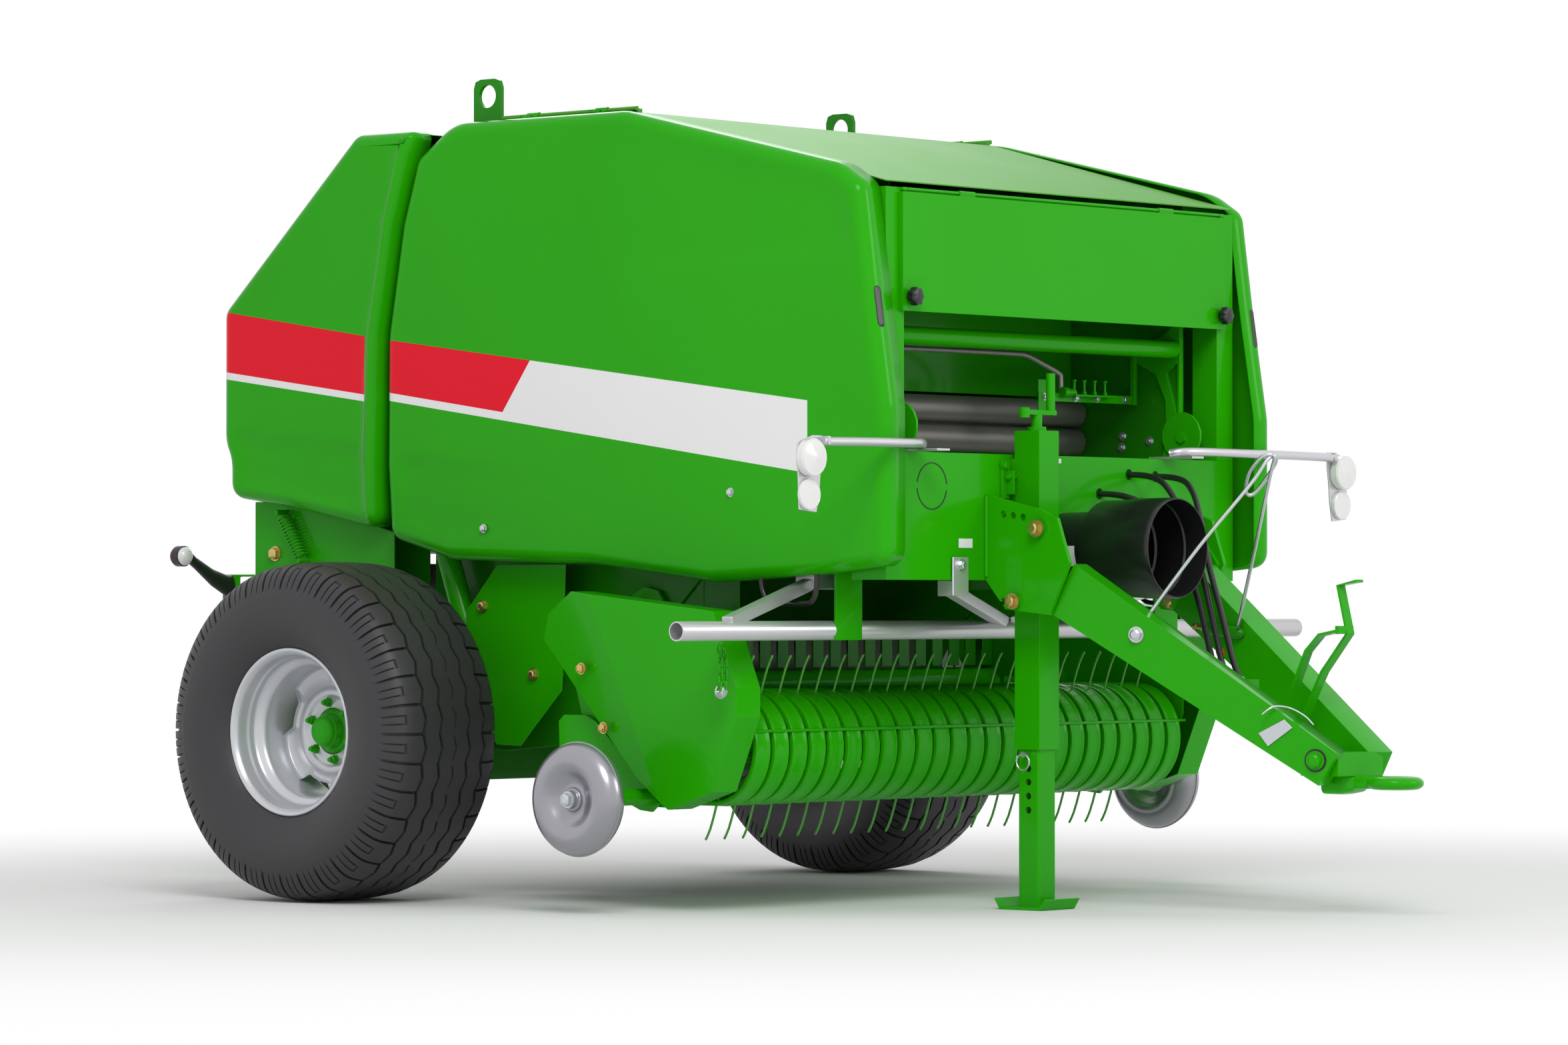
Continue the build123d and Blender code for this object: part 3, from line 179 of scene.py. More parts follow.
def seen_by(tree, rays=("Is Camera Ray", "Is Glossy Ray", "Is Transmission Ray")):
    """One for the kinds of ray that see the white surround."""
    path = put(tree, "ShaderNodeLightPath")
    seen = path.outputs[rays[0]]
    for ray in rays[1:]:
        seen = put(tree, "ShaderNodeMath", {0: seen, 1: path.outputs[ray]}, operation="MAXIMUM").outputs[0]
    return seen


tree = floor_paint.node_tree
tree.nodes.clear()
matt = put(tree, "ShaderNodeBsdfDiffuse", {"Color": (0.86, 0.86, 0.86, 1)})
glow = put(tree, "ShaderNodeEmission")
here = put(tree, "ShaderNodeTexCoord").outputs["Object"]
far = put(tree, "ShaderNodeVectorMath", {0: here}, operation="LENGTH")
fade = put(tree, "ShaderNodeMapRange", {"Value": far.outputs["Value"], "From Min": 2.2, "From Max": 5.5},
           interpolation_type="SMOOTHSTEP")
share = put(tree, "ShaderNodeMath", {0: seen_by(tree), 1: fade.outputs["Result"]}, operation="MULTIPLY")
blend = put(tree, "ShaderNodeMixShader", {"Fac": share.outputs[0], 1: matt.outputs[0], 2: glow.outputs[0]})
put(tree, "ShaderNodeOutputMaterial", {"Surface": blend.outputs[0]})
floor_mesh.materials.append(floor_paint)

world = bpy.data.worlds.new("studio")
scene.world = world
world.use_nodes = True
tree = world.node_tree
tree.nodes.clear()
soft = put(tree, "ShaderNodeBackground", {"Color": (1, 1, 1, 1), "Strength": 0.62})
white = put(tree, "ShaderNodeBackground", {"Color": (1, 1, 1, 1)})
blend = put(tree, "ShaderNodeMixShader", {"Fac": seen_by(tree), 1: soft.outputs[0], 2: white.outputs[0]})
put(tree, "ShaderNodeOutputWorld", {"Surface": blend.outputs[0]})

for name, place, size, power in (("key", (-5.5, -5.0, 6.5), 4.0, 330), ("front", (3.5, -8.0, 4.0), 3.5, 120),
                                 ("rear", (4.5, 5.0, 6.0), 4.0, 110)):
    lamp = bpy.data.lights.new(name, "AREA")
    lamp.shape, lamp.size, lamp.energy = "DISK", size, power
    holder = bpy.data.objects.new(name, lamp)
    scene.collection.objects.link(holder)
    holder.location = place
    holder.rotation_euler = (Vector((0, 0, 0.9)) - Vector(place)).to_track_quat("-Z", "Y").to_euler()
scene.view_settings.view_transform = "Standard"

# --- finishes of the CAD's own pieces -----------------------------------------------
# Gloss green on the frame and sheets, a darker copy of it as painted shade on parts inside and in shade, bare and
# plated steel, black.
green = material("green_gloss", (0.020, 0.375, 0.0004), 0.22, coat=0.12, grain=0.03, grain_scale=120, mottle=0.05,
                 shine=0.10)
painted_shade_green = material("green_painted_shade", (0.012, 0.230, 0.0004), 0.30, coat=0.10, grain=0.04, grain_scale=160,
                      mottle=0.10, shine=0.15)
steel = material("bare_steel", (0.30, 0.285, 0.27), 0.50, metallic=0.6, grain=0.15, grain_scale=500, mottle=0.2)
zinc = material("satin_zinc", (0.62, 0.61, 0.64), 0.34, metallic=0.7, grain=0.12, grain_scale=700, mottle=0.07)
silver = material("silver_paint", (0.60, 0.61, 0.64), 0.30, metallic=0.45, coat=0.2, grain=0.05, grain_scale=600)
tyre_rubber = material("tyre_rubber", (0.030, 0.0275, 0.031), 0.50, grain=0.25, grain_scale=260, mottle=0.22)
black = material("black_plastic", (0.010, 0.010, 0.011), 0.30, grain=0.15, grain_scale=420)
lens_white = material("lamp_lens", (0.80, 0.80, 0.79), 0.16, coat=0.5)
finishes = {"body_green": green, "frame_green": painted_shade_green, "dark_steel": steel, "zinc": zinc,
            "silver_paint": silver, "tyre_rubber": tyre_rubber, "black_plastic": black, "black_paint": black,
            "lamp_lens": lens_white, "hose_rubber": rubber}
for part in frame["record"]["subparts"]:
    mesh = nodes[part["node"]].data
    mesh.materials.clear()
    mesh.materials.append(finishes[part["material_slot"]])

# --- tyres --------------------------------------------------------------------------
# Black rubber with four zigzag grooves, a row of short cuts along the middle, and 36
# shoulder blocks a side, each with a U cut in it. The sidewalls are smooth.


def finish_piece(obj, node, sharp=32):
    """Put the piece in place of a CAD node: its modifiers made real, its body, and smooth shading."""
    if obj.modifiers:
        seen = bpy.context.evaluated_depsgraph_get()
        seen.update()
        mesh = bpy.data.meshes.new_from_object(obj.evaluated_get(seen))
        obj.modifiers.clear()
        obj.data = mesh
    for polygon in obj.data.polygons:
        polygon.use_smooth = True
    if sharp:
        obj.data.set_sharp_from_angle(angle=radians(sharp))
    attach(obj, nodes[node]["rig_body"])
    return obj


def wrap(shape, loops, closed=False):
    """Join loops of points, one after another, into a skin; closed joins the last to the first."""
    rows = [[shape.verts.new(p) for p in loop] for loop in loops]
    pairs = list(zip(rows, rows[1:])) + ([(rows[-1], rows[0])] if closed else [])
    for a, b in pairs:
        for i in range(len(a)):
            shape.faces.new((a[i - 1], a[i], b[i], b[i - 1]))
    if not closed:
        shape.faces.new(rows[0][::-1])
        shape.faces.new(rows[-1])


def finish_shape(shape, name, *finish):
    """The worked mesh as an object, its faces turned outward."""
    bmesh.ops.remove_doubles(shape, verts=shape.verts, dist=1e-6)
    bmesh.ops.recalc_face_normals(shape, faces=shape.faces)
    mesh = bpy.data.meshes.new(name)
    shape.to_mesh(mesh)
    shape.free()
    for one in finish:
        mesh.materials.append(one)
    return link_mesh(name, mesh)


def smooth_line(points, steps):
    """Points along a soft curve through the given ones."""
    line = []
    for i in range(len(points) - 1):
        p = [Vector(points[max(0, min(len(points) - 1, i + k))]) for k in (-1, 0, 1, 2)]
        for step in range(steps):
            t = step / steps
            line.append(0.5 * ((2 * p[1]) + (p[2] - p[0]) * t + (2 * p[0] - 5 * p[1] + 4 * p[2] - p[3]) * t ** 2
                               + (3 * p[1] - p[0] - 3 * p[2] + p[3]) * t ** 3))
    return line + [Vector(points[-1])]


half_section = [(0, .4365), (.05, .4362), (.105, .4335), (.135, .4290), (.158, .4215), (.176, .4065), (.188, .386),
                (.1945, .366), (.1985, .345), (.1995, .318), (.196, .285), (.186, .250), (.172, .228), (.161, .2185)]
section_line = smooth_line([(x, r, 0) for x, r in half_section], 12)


def tread_radius(x):
    """Radius of the plain tyre at a distance from its middle plane, over the tread and shoulder."""
    x = abs(x)
    for a, b in zip(section_line, section_line[1:]):
        if a.x <= x <= b.x:
            return a.y + (b.y - a.y) * (x - a.x) / (b.x - a.x)
    return section_line[0].y


def groove_columns(middle, width, wall=.0012):
    """Columns at the edges and the floor of a groove that runs round the tyre."""
    h = width / 2
    return [(middle - h - wall, 0), (middle - h, 1), (middle + h, 1), (middle + h + wall, 0)]


block_count, groove_depth, cut_depth = 36, .010, .006
in_block = (0, .040, .055, .19, .325, .338, .372, .385, .5, .615, .628, .662, .675, .81, .945, .960)
columns = groove_columns(0, .004) + [(.026, 0)] + groove_columns(.05, .007) + [(.078, 0)]
columns += groove_columns(.106, .007)
columns += [(x, 0) for x in (.122, .138, .153, .1562, .1575, .1625, .1638, .172, .180, .1865, .191, .1945)]


def tread_point(x, kind, turn):
    """Where a column of the tread stands at a turn, with the grooves and cuts sunk in."""
    place, side = turn * block_count % 1, (1 if x >= 0 else -1)
    zigzag = .0055 * (1 - 4 * abs(place - .5)) * min(1, max(0, (.150 - abs(x)) / .03))
    radius, out = tread_radius(x), abs(x)
    sink = 0
    if kind and abs(x) < .01:
        sink = cut_depth if .15 < place < .85 else 0
    elif kind:
        sink = groove_depth
    elif out > .109:
        fade = min(1, max(0, (.1955 - out) / .006))
        if place < .045 or place > .958:
            sink = groove_depth * fade
        in_bar = .335 < place < .375 or .625 < place < .665
        in_end = .1574 < out < .1626 and .335 < place < .665
        if (in_bar and out > .1574) or in_end:
            sink = cut_depth * fade
    shift = zigzag - side * sink * (.35 if out > .17 else 0)
    return x + shift, radius - sink


def tyre_piece(side):
    """One tyre about its wheel's centre."""
    low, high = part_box(f"tyre_{side}")
    centre = (low + high) / 2
    shape = bmesh.new()
    across = sorted(set(columns) | {(-x, k) for x, k in columns if x > .001})
    turns = [(b + t) / block_count for b in range(block_count) for t in in_block]
    loops = []
    for x, kind in across:
        loop = []
        for turn in turns:
            px, pr = tread_point(x, kind, turn)
            angle = 2 * pi * turn
            loop.append(centre + Vector((px, pr * cos(angle), pr * sin(angle))))
        loops.append(loop)
    bulge = [(.1965, .357, 0), (.1978, .350, 0), (.1996, .330, 0), (.1996, .312, 0), (.196, .285, 0),
             (.186, .252, 0), (.173, .230, 0), (.162, .2180, 0)]
    wall_line = [(p.x, p.y) for p in smooth_line(bulge, 3)]
    bead = [(.1585, .2165), (.1568, .2120), (.1568, .2034)]

    def plain(x, r):
        return [centre + Vector((x, r * cos(2 * pi * t), r * sin(2 * pi * t))) for t in turns]

    near = [plain(x, r) for x, r in wall_line + bead]
    far = [plain(-x, r) for x, r in (wall_line + bead)[::-1]]
    wrap(shape, far + loops + near, closed=True)
    tyre = finish_shape(shape, f"tyre_{side}_treaded", tyre_rubber)
    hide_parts(f"tyre_{side}")
    return finish_piece(tyre, f"tyre_{side}", sharp=24)


for side in ("right", "left"):
    tyre_piece(side)

# --- rims ---------------------------------------------------------------------------
# Silver drop-centre rims with a rolled lip and stepped seats. The disc near the middle is
# welded in at four corners; a ring is pressed up round its hub hole.


def spin(shape, profile, centre, s=1, steps=96, closed=True):
    """Turn a profile of (distance outward, radius) about a wheel's axis."""
    loops = []
    for x, r in profile:
        loops.append([centre + Vector((s * x, r * cos(2 * pi * i / steps), r * sin(2 * pi * i / steps)))
                      for i in range(steps)])
    wrap(shape, loops, closed=closed)


lip = [(.1567, .2110), (.1572, .2150), (.1600, .2165), (.1632, .2155), (.1650, .2125), (.1640, .2085), (.1600, .2045),
       (.1545, .2000), (.1500, .1978)]
inside = lip + [(.140, .1968), (.126, .1962), (.1215, .1950), (.1180, .1925), (.1140, .1915), (.1060, .1910),
                (.1010, .1895), (.0960, .1840), (.0900, .1755), (.0850, .1705), (.0780, .1682), (.0650, .1678)]
inside += [(-.0450, .1678), (-.0530, .1700), (-.0600, .1800), (-.0680, .1910), (-.0750, .1950), (-.100, .1962)]
inside += [(-x, r) for x, r in lip[::-1]]
outside = [(-.1567, .2032), (-.0750, .2032), (-.0520, .1760), (.0740, .1760), (.0970, .2032), (.1567, .2032)]
for side, s in (("right", -1), ("left", 1)):
    low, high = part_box(f"rim_{side}")
    centre = (low + high) / 2
    shape = bmesh.new()
    spin(shape, inside + outside, centre, s, 128)
    # the disc, its radius running out at four corners
    steps = 192
    disc_line = [(.0040, .0600), (.0060, .0625), (.0060, .084), (.0075, .088), (.0125, .092), (.0140, .097),
                 (.0140, .104), (.0125, .109), (.0070, .114), (.0050, .119)]
    loops = []
    back = [(x - .008, r) for x, r in disc_line]

    def disc_loop(x, r):
        return [centre + Vector((s * x, r * cos(2 * pi * i / steps), r * sin(2 * pi * i / steps)))
                for i in range(steps)]

    def corner_reach(i):
        """How far the disc's edge reaches at a turn: out to the well at four corners."""
        swing = abs(((i / steps * 4 + .3) % 1) - .5) * 2
        blend = min(1, max(0, (swing - .30) / .22))
        return .134 + (.1675 - .134) * (blend * blend * (3 - 2 * blend))

    def edge_loop(x, less):
        return [centre + Vector((s * x, (corner_reach(i) - less) * cos(2 * pi * i / steps),
                                 (corner_reach(i) - less) * sin(2 * pi * i / steps))) for i in range(steps)]

    front = [disc_loop(x, r) for x, r in disc_line] + [edge_loop(.005, .006), edge_loop(.009, .002),
                                                         edge_loop(.016, 0)]
    rear = [edge_loop(.012, .006 - .004), edge_loop(.002, .004), edge_loop(-.003, .008)]
    rear += [disc_loop(x, r) for x, r in back[::-1]]
    wrap(shape, front + rear, closed=True)
    rim = finish_shape(shape, f"rim_{side}_pressed", silver)
    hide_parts(f"rim_{side}")
    finish_piece(rim, f"rim_{side}", sharp=50)

    # hub: a green flange behind the disc, its domed cap through the hole, and six studs
    shape = bmesh.new()
    hub_line = [(-.1195, .0330), (-.1195, .0570), (-.0240, .0600), (-.0200, .0840), (-.0058, .0845), (-.0058, .0590),
                (.0040, .0580), (.0080, .0540), (.0100, .0465), (.0300, .0440), (.0330, .0425), (.0340, .0400),
                (.0420, .0385), (.0480, .0340), (.0515, .0250), (.0525, .0120), (.0527, .0010)]
    loops_back = [(-.1190, .0322), (.0200, .0322), (.0210, .0010)]
    spin(shape, hub_line + loops_back[::-1], centre, s, 64)
    for i in range(6):
        turn = 2 * pi * (i + .35) / 6
        at = Vector((0, .0745 * cos(turn), .0745 * sin(turn)))
        spin(shape, [(.0062, .0135), (.0090, .0135), (.0098, .0125)], centre + at, s, 6, closed=False)
        spin(shape, [(.0095, .0105), (.0200, .0100), (.0215, .0085)], centre + at, s, 6, closed=False)
        spin(shape, [(.0200, .0060), (.0300, .0060), (.0315, .0045)], centre + at, s, 10, closed=False)
    hub = finish_shape(shape, f"hub_{side}_domed", green)
    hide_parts(f"hub_{side}")
    finish_piece(hub, f"hub_{side}", sharp=35)

# --- frame, walls and sheets --------------------------------------------------------
# Welded frame of box sections and plates with folded sheets on it, all painted green.
# Every free edge is broken by a small round, which catches the light.


def dress(node, width=.0022, finish=None, angle=35):
    """A copy of a node's plates with their edges rounded over, put in the node's place."""
    shape = bmesh.new()
    shape.from_mesh(nodes[node].data)
    bmesh.ops.remove_doubles(shape, verts=shape.verts, dist=2e-5)
    bmesh.ops.dissolve_limit(shape, angle_limit=radians(.6), verts=shape.verts, edges=shape.edges)
    mesh = bpy.data.meshes.new(f"{node}_edged")
    shape.to_mesh(mesh)
    shape.free()
    piece = link_mesh(f"{node}_edged", mesh)
    mesh.materials.append(finish or nodes[node].data.materials[0])
    for polygon in mesh.polygons:
        polygon.use_smooth = True
    edge = piece.modifiers.new("edge", "BEVEL")
    edge.width, edge.segments = width, 2
    edge.limit_method, edge.angle_limit = "ANGLE", radians(angle)
    level = piece.modifiers.new("level", "WEIGHTED_NORMAL")
    level.keep_sharp = True
    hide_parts(node)
    return finish_piece(piece, node, sharp=0)


for node in ("axle", "side_walls", "front_beam", "front_frame", "gearbox", "top_frame", "lower_guards",
             "tailgate_walls", "tailgate_plates", "jack_tube", "drawbar_plates", "drawbar_arms",
             "gauge_arms"):
    dress(node)
dull_green = material("green_dull", (0.060, 0.330, 0.012), 0.50, grain=0.05, grain_scale=90, mottle=0.05,
                      shine=0.3)
dress("roof", .0012, dull_green)
dress("tailgate_skin", .0012)
dress("hood", .0016)
dress("front_rollers", .004, steel, 50)
dress("rear_rollers", .004, steel, 50)
for node in ("feed_roller_upper", "feed_roller_lower"):
    dress(node, .002, steel, 50)

# --- bolts --------------------------------------------------------------------------
# Hexagon bolts with a washer under the head, plated yellow on the frame and white inside.


def new_tree(name, sizes):
    """An empty node tree with a named input for each size."""
    tree = bpy.data.node_groups.new(name, "GeometryNodeTree")
    tree.interface.new_socket("Geometry", in_out="INPUT", socket_type="NodeSocketGeometry")
    for label, value in sizes.items():
        kind = {int: "NodeSocketInt", float: "NodeSocketFloat"}.get(type(value), "NodeSocketMaterial")
        socket = tree.interface.new_socket(label, in_out="INPUT", socket_type=kind)
        if kind != "NodeSocketMaterial":
            socket.default_value = value
    tree.interface.new_socket("Geometry", in_out="OUTPUT", socket_type="NodeSocketGeometry")
    return tree


def end_tree(tree, shape, finish):
    """Close a tree: make its copies real and give them their finish."""
    real = put(tree, "GeometryNodeRealizeInstances", {"Geometry": shape})
    painted = put(tree, "GeometryNodeSetMaterial", {"Geometry": real.outputs[0], "Material": finish})
    put(tree, "NodeGroupOutput", {"Geometry": painted.outputs[0]})


def grow(name, tree, base, values):
    """Put a tree on a base mesh with its inputs set, ready to be finished as a piece."""
    piece = link_mesh(name, base)
    growth = piece.modifiers.new("growth", "NODES")
    growth.node_group = tree
    for socket in tree.interface.items_tree:
        if socket.in_out == "INPUT" and socket.name in values:
            growth[socket.identifier] = values[socket.name]
    return piece


bolt_tree = new_tree("hexagon_bolts", {"Head Radius": .0105, "Head Height": .0075, "Finish": None})
given = put(bolt_tree, "NodeGroupInput")
head_radius, head_height = given.outputs["Head Radius"], given.outputs["Head Height"]


def times(tree, value, factor):
    """A size as a share of another."""
    return put(tree, "ShaderNodeMath", {0: value, 1: factor}, operation="MULTIPLY").outputs[0]


washer = put(bolt_tree, "GeometryNodeMeshCylinder", {"Vertices": 18, "Radius": times(bolt_tree, head_radius, 1.28),
                                                      "Depth": times(bolt_tree, head_height, .5)})
head = put(bolt_tree, "GeometryNodeMeshCylinder", {"Vertices": 6, "Radius": head_radius, "Depth": head_height})
crown = put(bolt_tree, "GeometryNodeMeshCone", {"Vertices": 12, "Radius Bottom": times(bolt_tree, head_radius, .84),
                                                 "Radius Top": times(bolt_tree, head_radius, .55),
                                                 "Depth": times(bolt_tree, head_height, .24)})
lifted = []
for part, share in ((head, .74), (crown, 1.22)):
    lift = put(bolt_tree, "ShaderNodeCombineXYZ", {"Z": times(bolt_tree, head_height, share)})
    lifted.append(put(bolt_tree, "GeometryNodeTransform", {"Geometry": part.outputs["Mesh"],
                                                            "Translation": lift.outputs[0]}))
whole = put(bolt_tree, "GeometryNodeJoinGeometry")
for part in (washer, *lifted):
    bolt_tree.links.new(part.outputs[0], whole.inputs[0])
aim = put(bolt_tree, "GeometryNodeInputNamedAttribute", {"Name": "aim"}, data_type="FLOAT_VECTOR")
size = put(bolt_tree, "GeometryNodeInputNamedAttribute", {"Name": "size"}, data_type="FLOAT")
turned_to = put(bolt_tree, "FunctionNodeAlignRotationToVector", {"Vector": aim.outputs["Attribute"]}, axis="Z")
set_out = put(bolt_tree, "GeometryNodeInstanceOnPoints",
              {"Points": given.outputs["Geometry"], "Instance": whole.outputs[0],
               "Rotation": turned_to.outputs[0], "Scale": size.outputs["Attribute"]})
end_tree(bolt_tree, set_out.outputs[0], given.outputs["Finish"])
gold = material("yellow_zinc", (0.62, 0.44, 0.16), 0.30, metallic=0.9, grain=0.1, grain_scale=900)
white_zinc = material("white_zinc", (0.58, 0.60, 0.63), 0.28, metallic=0.9, grain=0.1, grain_scale=900)


def bolts(name, node, places, finish=gold):
    """Bolt heads at places of (x, y, z from the axle in mm, aim, size) on a node's body."""
    base = bpy.data.meshes.new(name)
    base.from_pydata([at_axle(*place[:3]) for place in places], [], [])
    base.attributes.new("aim", "FLOAT_VECTOR", "POINT")
    base.attributes.new("size", "FLOAT", "POINT")
    for i, place in enumerate(places):
        base.attributes["aim"].data[i].vector = place[3]
        base.attributes["size"].data[i].value = place[4]
    piece = grow(name, bolt_tree, base, {"Finish": finish})
    finish_piece(piece, node, sharp=30)


outward, forward, upward = Vector((1, 0, 0)), Vector((0, -1, 0)), Vector((0, 0, 1))
frame_bolts, gate_bolts, cover_bolts, inner_bolts = [], [], [], []
for s in (-1, 1):
    frame_bolts += [(s * 710, y, z, outward * s, 1.25) for y, z in ((-212, 759), (-393, 583))]
    frame_bolts += [(s * 338, -1750, 953, outward * s, 1.7), (s * 338, -1676, 772, outward * s, 1.5)]
    frame_bolts += [(s * 314, y, z, outward * -s, 1.6) for y, z in ((-1750, 953), (-1676, 772))]
    gate_bolts += [(s * 711, y, z, outward * s, 1.5) for y, z in ((560, 900), (220, 660))]
    cover_bolts += [(s * 990.3, y, z, outward * s, 1.1) for y, z in ((-821, 604), (-896, 457))]
    inner_bolts += [(s * 600, y, z, outward * -s, .9) for y, z in ((-1303, 1210), (-1300, 1180), (-1393, 1195))]
bolts("frame_bolts", "side_walls", frame_bolts)
bolts("tailgate_bolts", "tailgate_walls", gate_bolts)
bolts("cover_bolts", "pickup_covers", cover_bolts)
axle_bolts = [(s * 1207, -978, 286, outward * s, 1.55) for s in (-1, 1)]
bolts("gauge_axle_bolts", "gauge_arms", axle_bolts, white_zinc)
bolts("window_bolts", "side_walls", inner_bolts, white_zinc)

# --- side and rear shields ----------------------------------------------------------
# Moulded shields in gloss green: a flat panel with shallow steps pressed in it, rolled
# edges, and a ridge along the seam. The stripes are blank foil, so they are in the paint.


def soft_corners(points, radius, pieces=10, least_turn=8):
    """An outline with its corners rounded; gentle bends are rounded over a longer reach."""
    line = []
    for i, here in enumerate(points):
        a, b, c = Vector(points[i - 1]), Vector(here), Vector(points[(i + 1) % len(points)])
        u, v = a - b, c - b
        turn = pi - u.angle(v)
        if turn < radians(least_turn):
            line.append(b)
            continue
        wide = radius if turn > radians(35) else radius * 3.2
        reach = min(wide * sin(turn / 2) / cos(turn / 2), 0.46 * u.length, 0.46 * v.length)
        u, v = u.normalized() * reach, v.normalized() * reach
        line += [b + u * (1 - k / pieces) ** 2 + v * (k / pieces) ** 2 for k in range(pieces + 1)]
    return line


def drawn_in(points, pull):
    """The outline moved inward by pull."""
    area = sum(a.x * b.y - b.x * a.y for a, b in zip(points[-1:] + points[:-1], points))
    turn_in = 1 if area > 0 else -1
    edges = [(b - a).normalized() for a, b in zip(points[-1:] + points[:-1], points)]
    moved = []
    for here, u, v in zip(points, edges, edges[1:] + edges[:1]):
        bisector = Vector((-u.y - v.y, u.x + v.x)) * turn_in
        moved.append(here + bisector * (2 * pull / bisector.length_squared))
    return moved


def inside_of(point, outline):
    """Whether a point lies within an outline."""
    hit = False
    for a, b in zip(outline[-1:] + outline[:-1], outline):
        if (a.y > point.y) != (b.y > point.y) and point.x < (b.x - a.x) * (point.y - a.y) / (b.y - a.y) + a.x:
            hit = not hit
    return hit


def nearness(point, outline):
    """Distance from a point to an outline."""
    best = 9.0
    for a, b in zip(outline[-1:] + outline[:-1], outline):
        along = b - a
        t = max(0, min(1, (point - a).dot(along) / max(along.length_squared, 1e-12)))
        best = min(best, (point - a - along * t).length)
    return best


def ease(value):
    """Nought to one and level at both ends."""
    value = min(1, max(0, value))
    return value * value * (3 - 2 * value)


shield_inner, shield_outer = .720, .800
roll = .034


def shield_piece(name, node, s, outline, relief, ridge, grid=.022):
    """A shield for side s: rolled rim, relief worked into its panel, and its thickness."""
    rim = soft_corners([(y / 1000, z / 1000) for y, z in outline], .050)
    shape = bmesh.new()
    loops = []
    for step in range(11):
        turn = radians(90 * step / 10)
        pull, x = roll * (1 - cos(turn)), shield_outer - roll * (1 - sin(turn))
        loops.append([(p, x + ridge(p.x, p.y) * sin(turn)) for p in drawn_in(rim, pull)])
    loops.insert(0, [(p, shield_inner) for p in rim])
    panel = drawn_in(rim, roll)
    rows = [[shape.verts.new(Vector((s * x, p.x + axle_y, p.y))) for p, x in loop] for loop in loops]
    for a, b in zip(rows, rows[1:]):
        for i in range(len(a)):
            shape.faces.new((a[i - 1], a[i], b[i], b[i - 1]))
    low = Vector((min(p.x for p in panel), min(p.y for p in panel)))
    high = Vector((max(p.x for p in panel), max(p.y for p in panel)))
    inner = []
    ny, nz = ceil((high.x - low.x) / grid), ceil((high.y - low.y) / grid)
    for iy in range(ny):
        for iz in range(nz):
            p = Vector((low.x + (iy + .5) * grid, low.y + (iz + .5) * grid))
            if inside_of(p, panel) and nearness(p, panel) > grid * .45:
                inner.append(p)
    count = len(panel)
    ring = [(i, (i + 1) % count) for i in range(count)]
    found = delaunay_2d_cdt(panel + inner, ring, [list(range(count))], 1, 1e-6)
    made = []
    for p, source in zip(found[0], found[3]):
        if source and source[0] < count:
            made.append(rows[-1][source[0]])
        else:
            made.append(shape.verts.new(Vector((s * (shield_outer + relief(p.x, p.y) + ridge(p.x, p.y)),
                                                p.x + axle_y, p.y))))
    for a, b, c in found[2]:
        shape.faces.new((made[a], made[b], made[c]))
    bmesh.ops.recalc_face_normals(shape, faces=shape.faces)
    middle = max(shape.faces, key=lambda f: f.calc_area())
    if middle.normal.x * s < 0:
        bmesh.ops.reverse_faces(shape, faces=shape.faces)
    mesh = bpy.data.meshes.new(name)
    shape.to_mesh(mesh)
    shape.free()
    shield = link_mesh(name, mesh)
    wall = shield.modifiers.new("wall", "SOLIDIFY")
    wall.thickness, wall.offset = .004, -1
    mesh.materials.append(green_striped)
    return shield


green_striped = material("green_striped", (0.020, 0.375, 0.0004), 0.22, coat=0.12, grain=0.03, grain_scale=120,
                         mottle=0.05, shine=0.10)
tree = green_striped.node_tree
place = put(tree, "ShaderNodeSeparateXYZ", {0: put(tree, "ShaderNodeTexCoord").outputs["Object"]})


def joined(operation, first, second, third=0.5):
    """Values or masks put together."""
    return put(tree, "ShaderNodeMath", {0: first, 1: second, 2: third}, operation=operation).outputs[0]


def above(line):
    """A mask that is one above a line of two (y, z) points given from the axle."""
    (y0, z0), (y1, z1) = line
    slope = (z1 - z0) / (y1 - y0)
    along = joined("MULTIPLY_ADD", place.outputs["Y"], -slope, -(z0 - slope * (y0 + axle_y)))
    return joined("GREATER_THAN", joined("ADD", along, place.outputs["Z"]), 0.0)


def between(low_line, high_line, rear, front):
    """A mask of the band between two lines, from rear to front along the machine."""
    mask = joined("SUBTRACT", above(low_line), above(high_line))
    behind = joined("LESS_THAN", place.outputs["Y"], rear + axle_y)
    ahead = joined("GREATER_THAN", place.outputs["Y"], front + axle_y)
    return joined("MULTIPLY", joined("MULTIPLY", mask, behind), ahead)


rear_top, rear_foot = ((.680, 1.553), (.134, 1.470)), ((.680, 1.391), (.134, 1.316))
rear_line = ((.680, 1.372), (.134, 1.298))
main_top, main_foot = ((.068, 1.460), (-1.394, 1.267)), ((.067, 1.301), (-1.364, 1.093))
main_line = ((.067, 1.322), (-1.364, 1.114))
slant = ((-.462, 1.388), (-.356, 1.245))
red = joined("MAXIMUM", between(rear_foot, rear_top, .90, .134),
             joined("MULTIPLY", between(main_line, main_top, .066, -.60), above(slant)))
pale = joined("MAXIMUM", between(rear_line, rear_foot, .90, .134), between(main_foot, main_top, .066, -1.40))
base = tree.nodes["Principled BSDF"].inputs["Base Color"]
paint = base.links[0].from_socket
for mask, colour in ((pale, (0.83, 0.83, 0.83, 1)), (red, (0.80, 0.004, 0.022, 1))):
    over = put(tree, "ShaderNodeMix", {"Factor": mask, "A": paint, "B": colour}, data_type="RGBA")
    paint = over.outputs["Result"]
tree.links.new(paint, base)

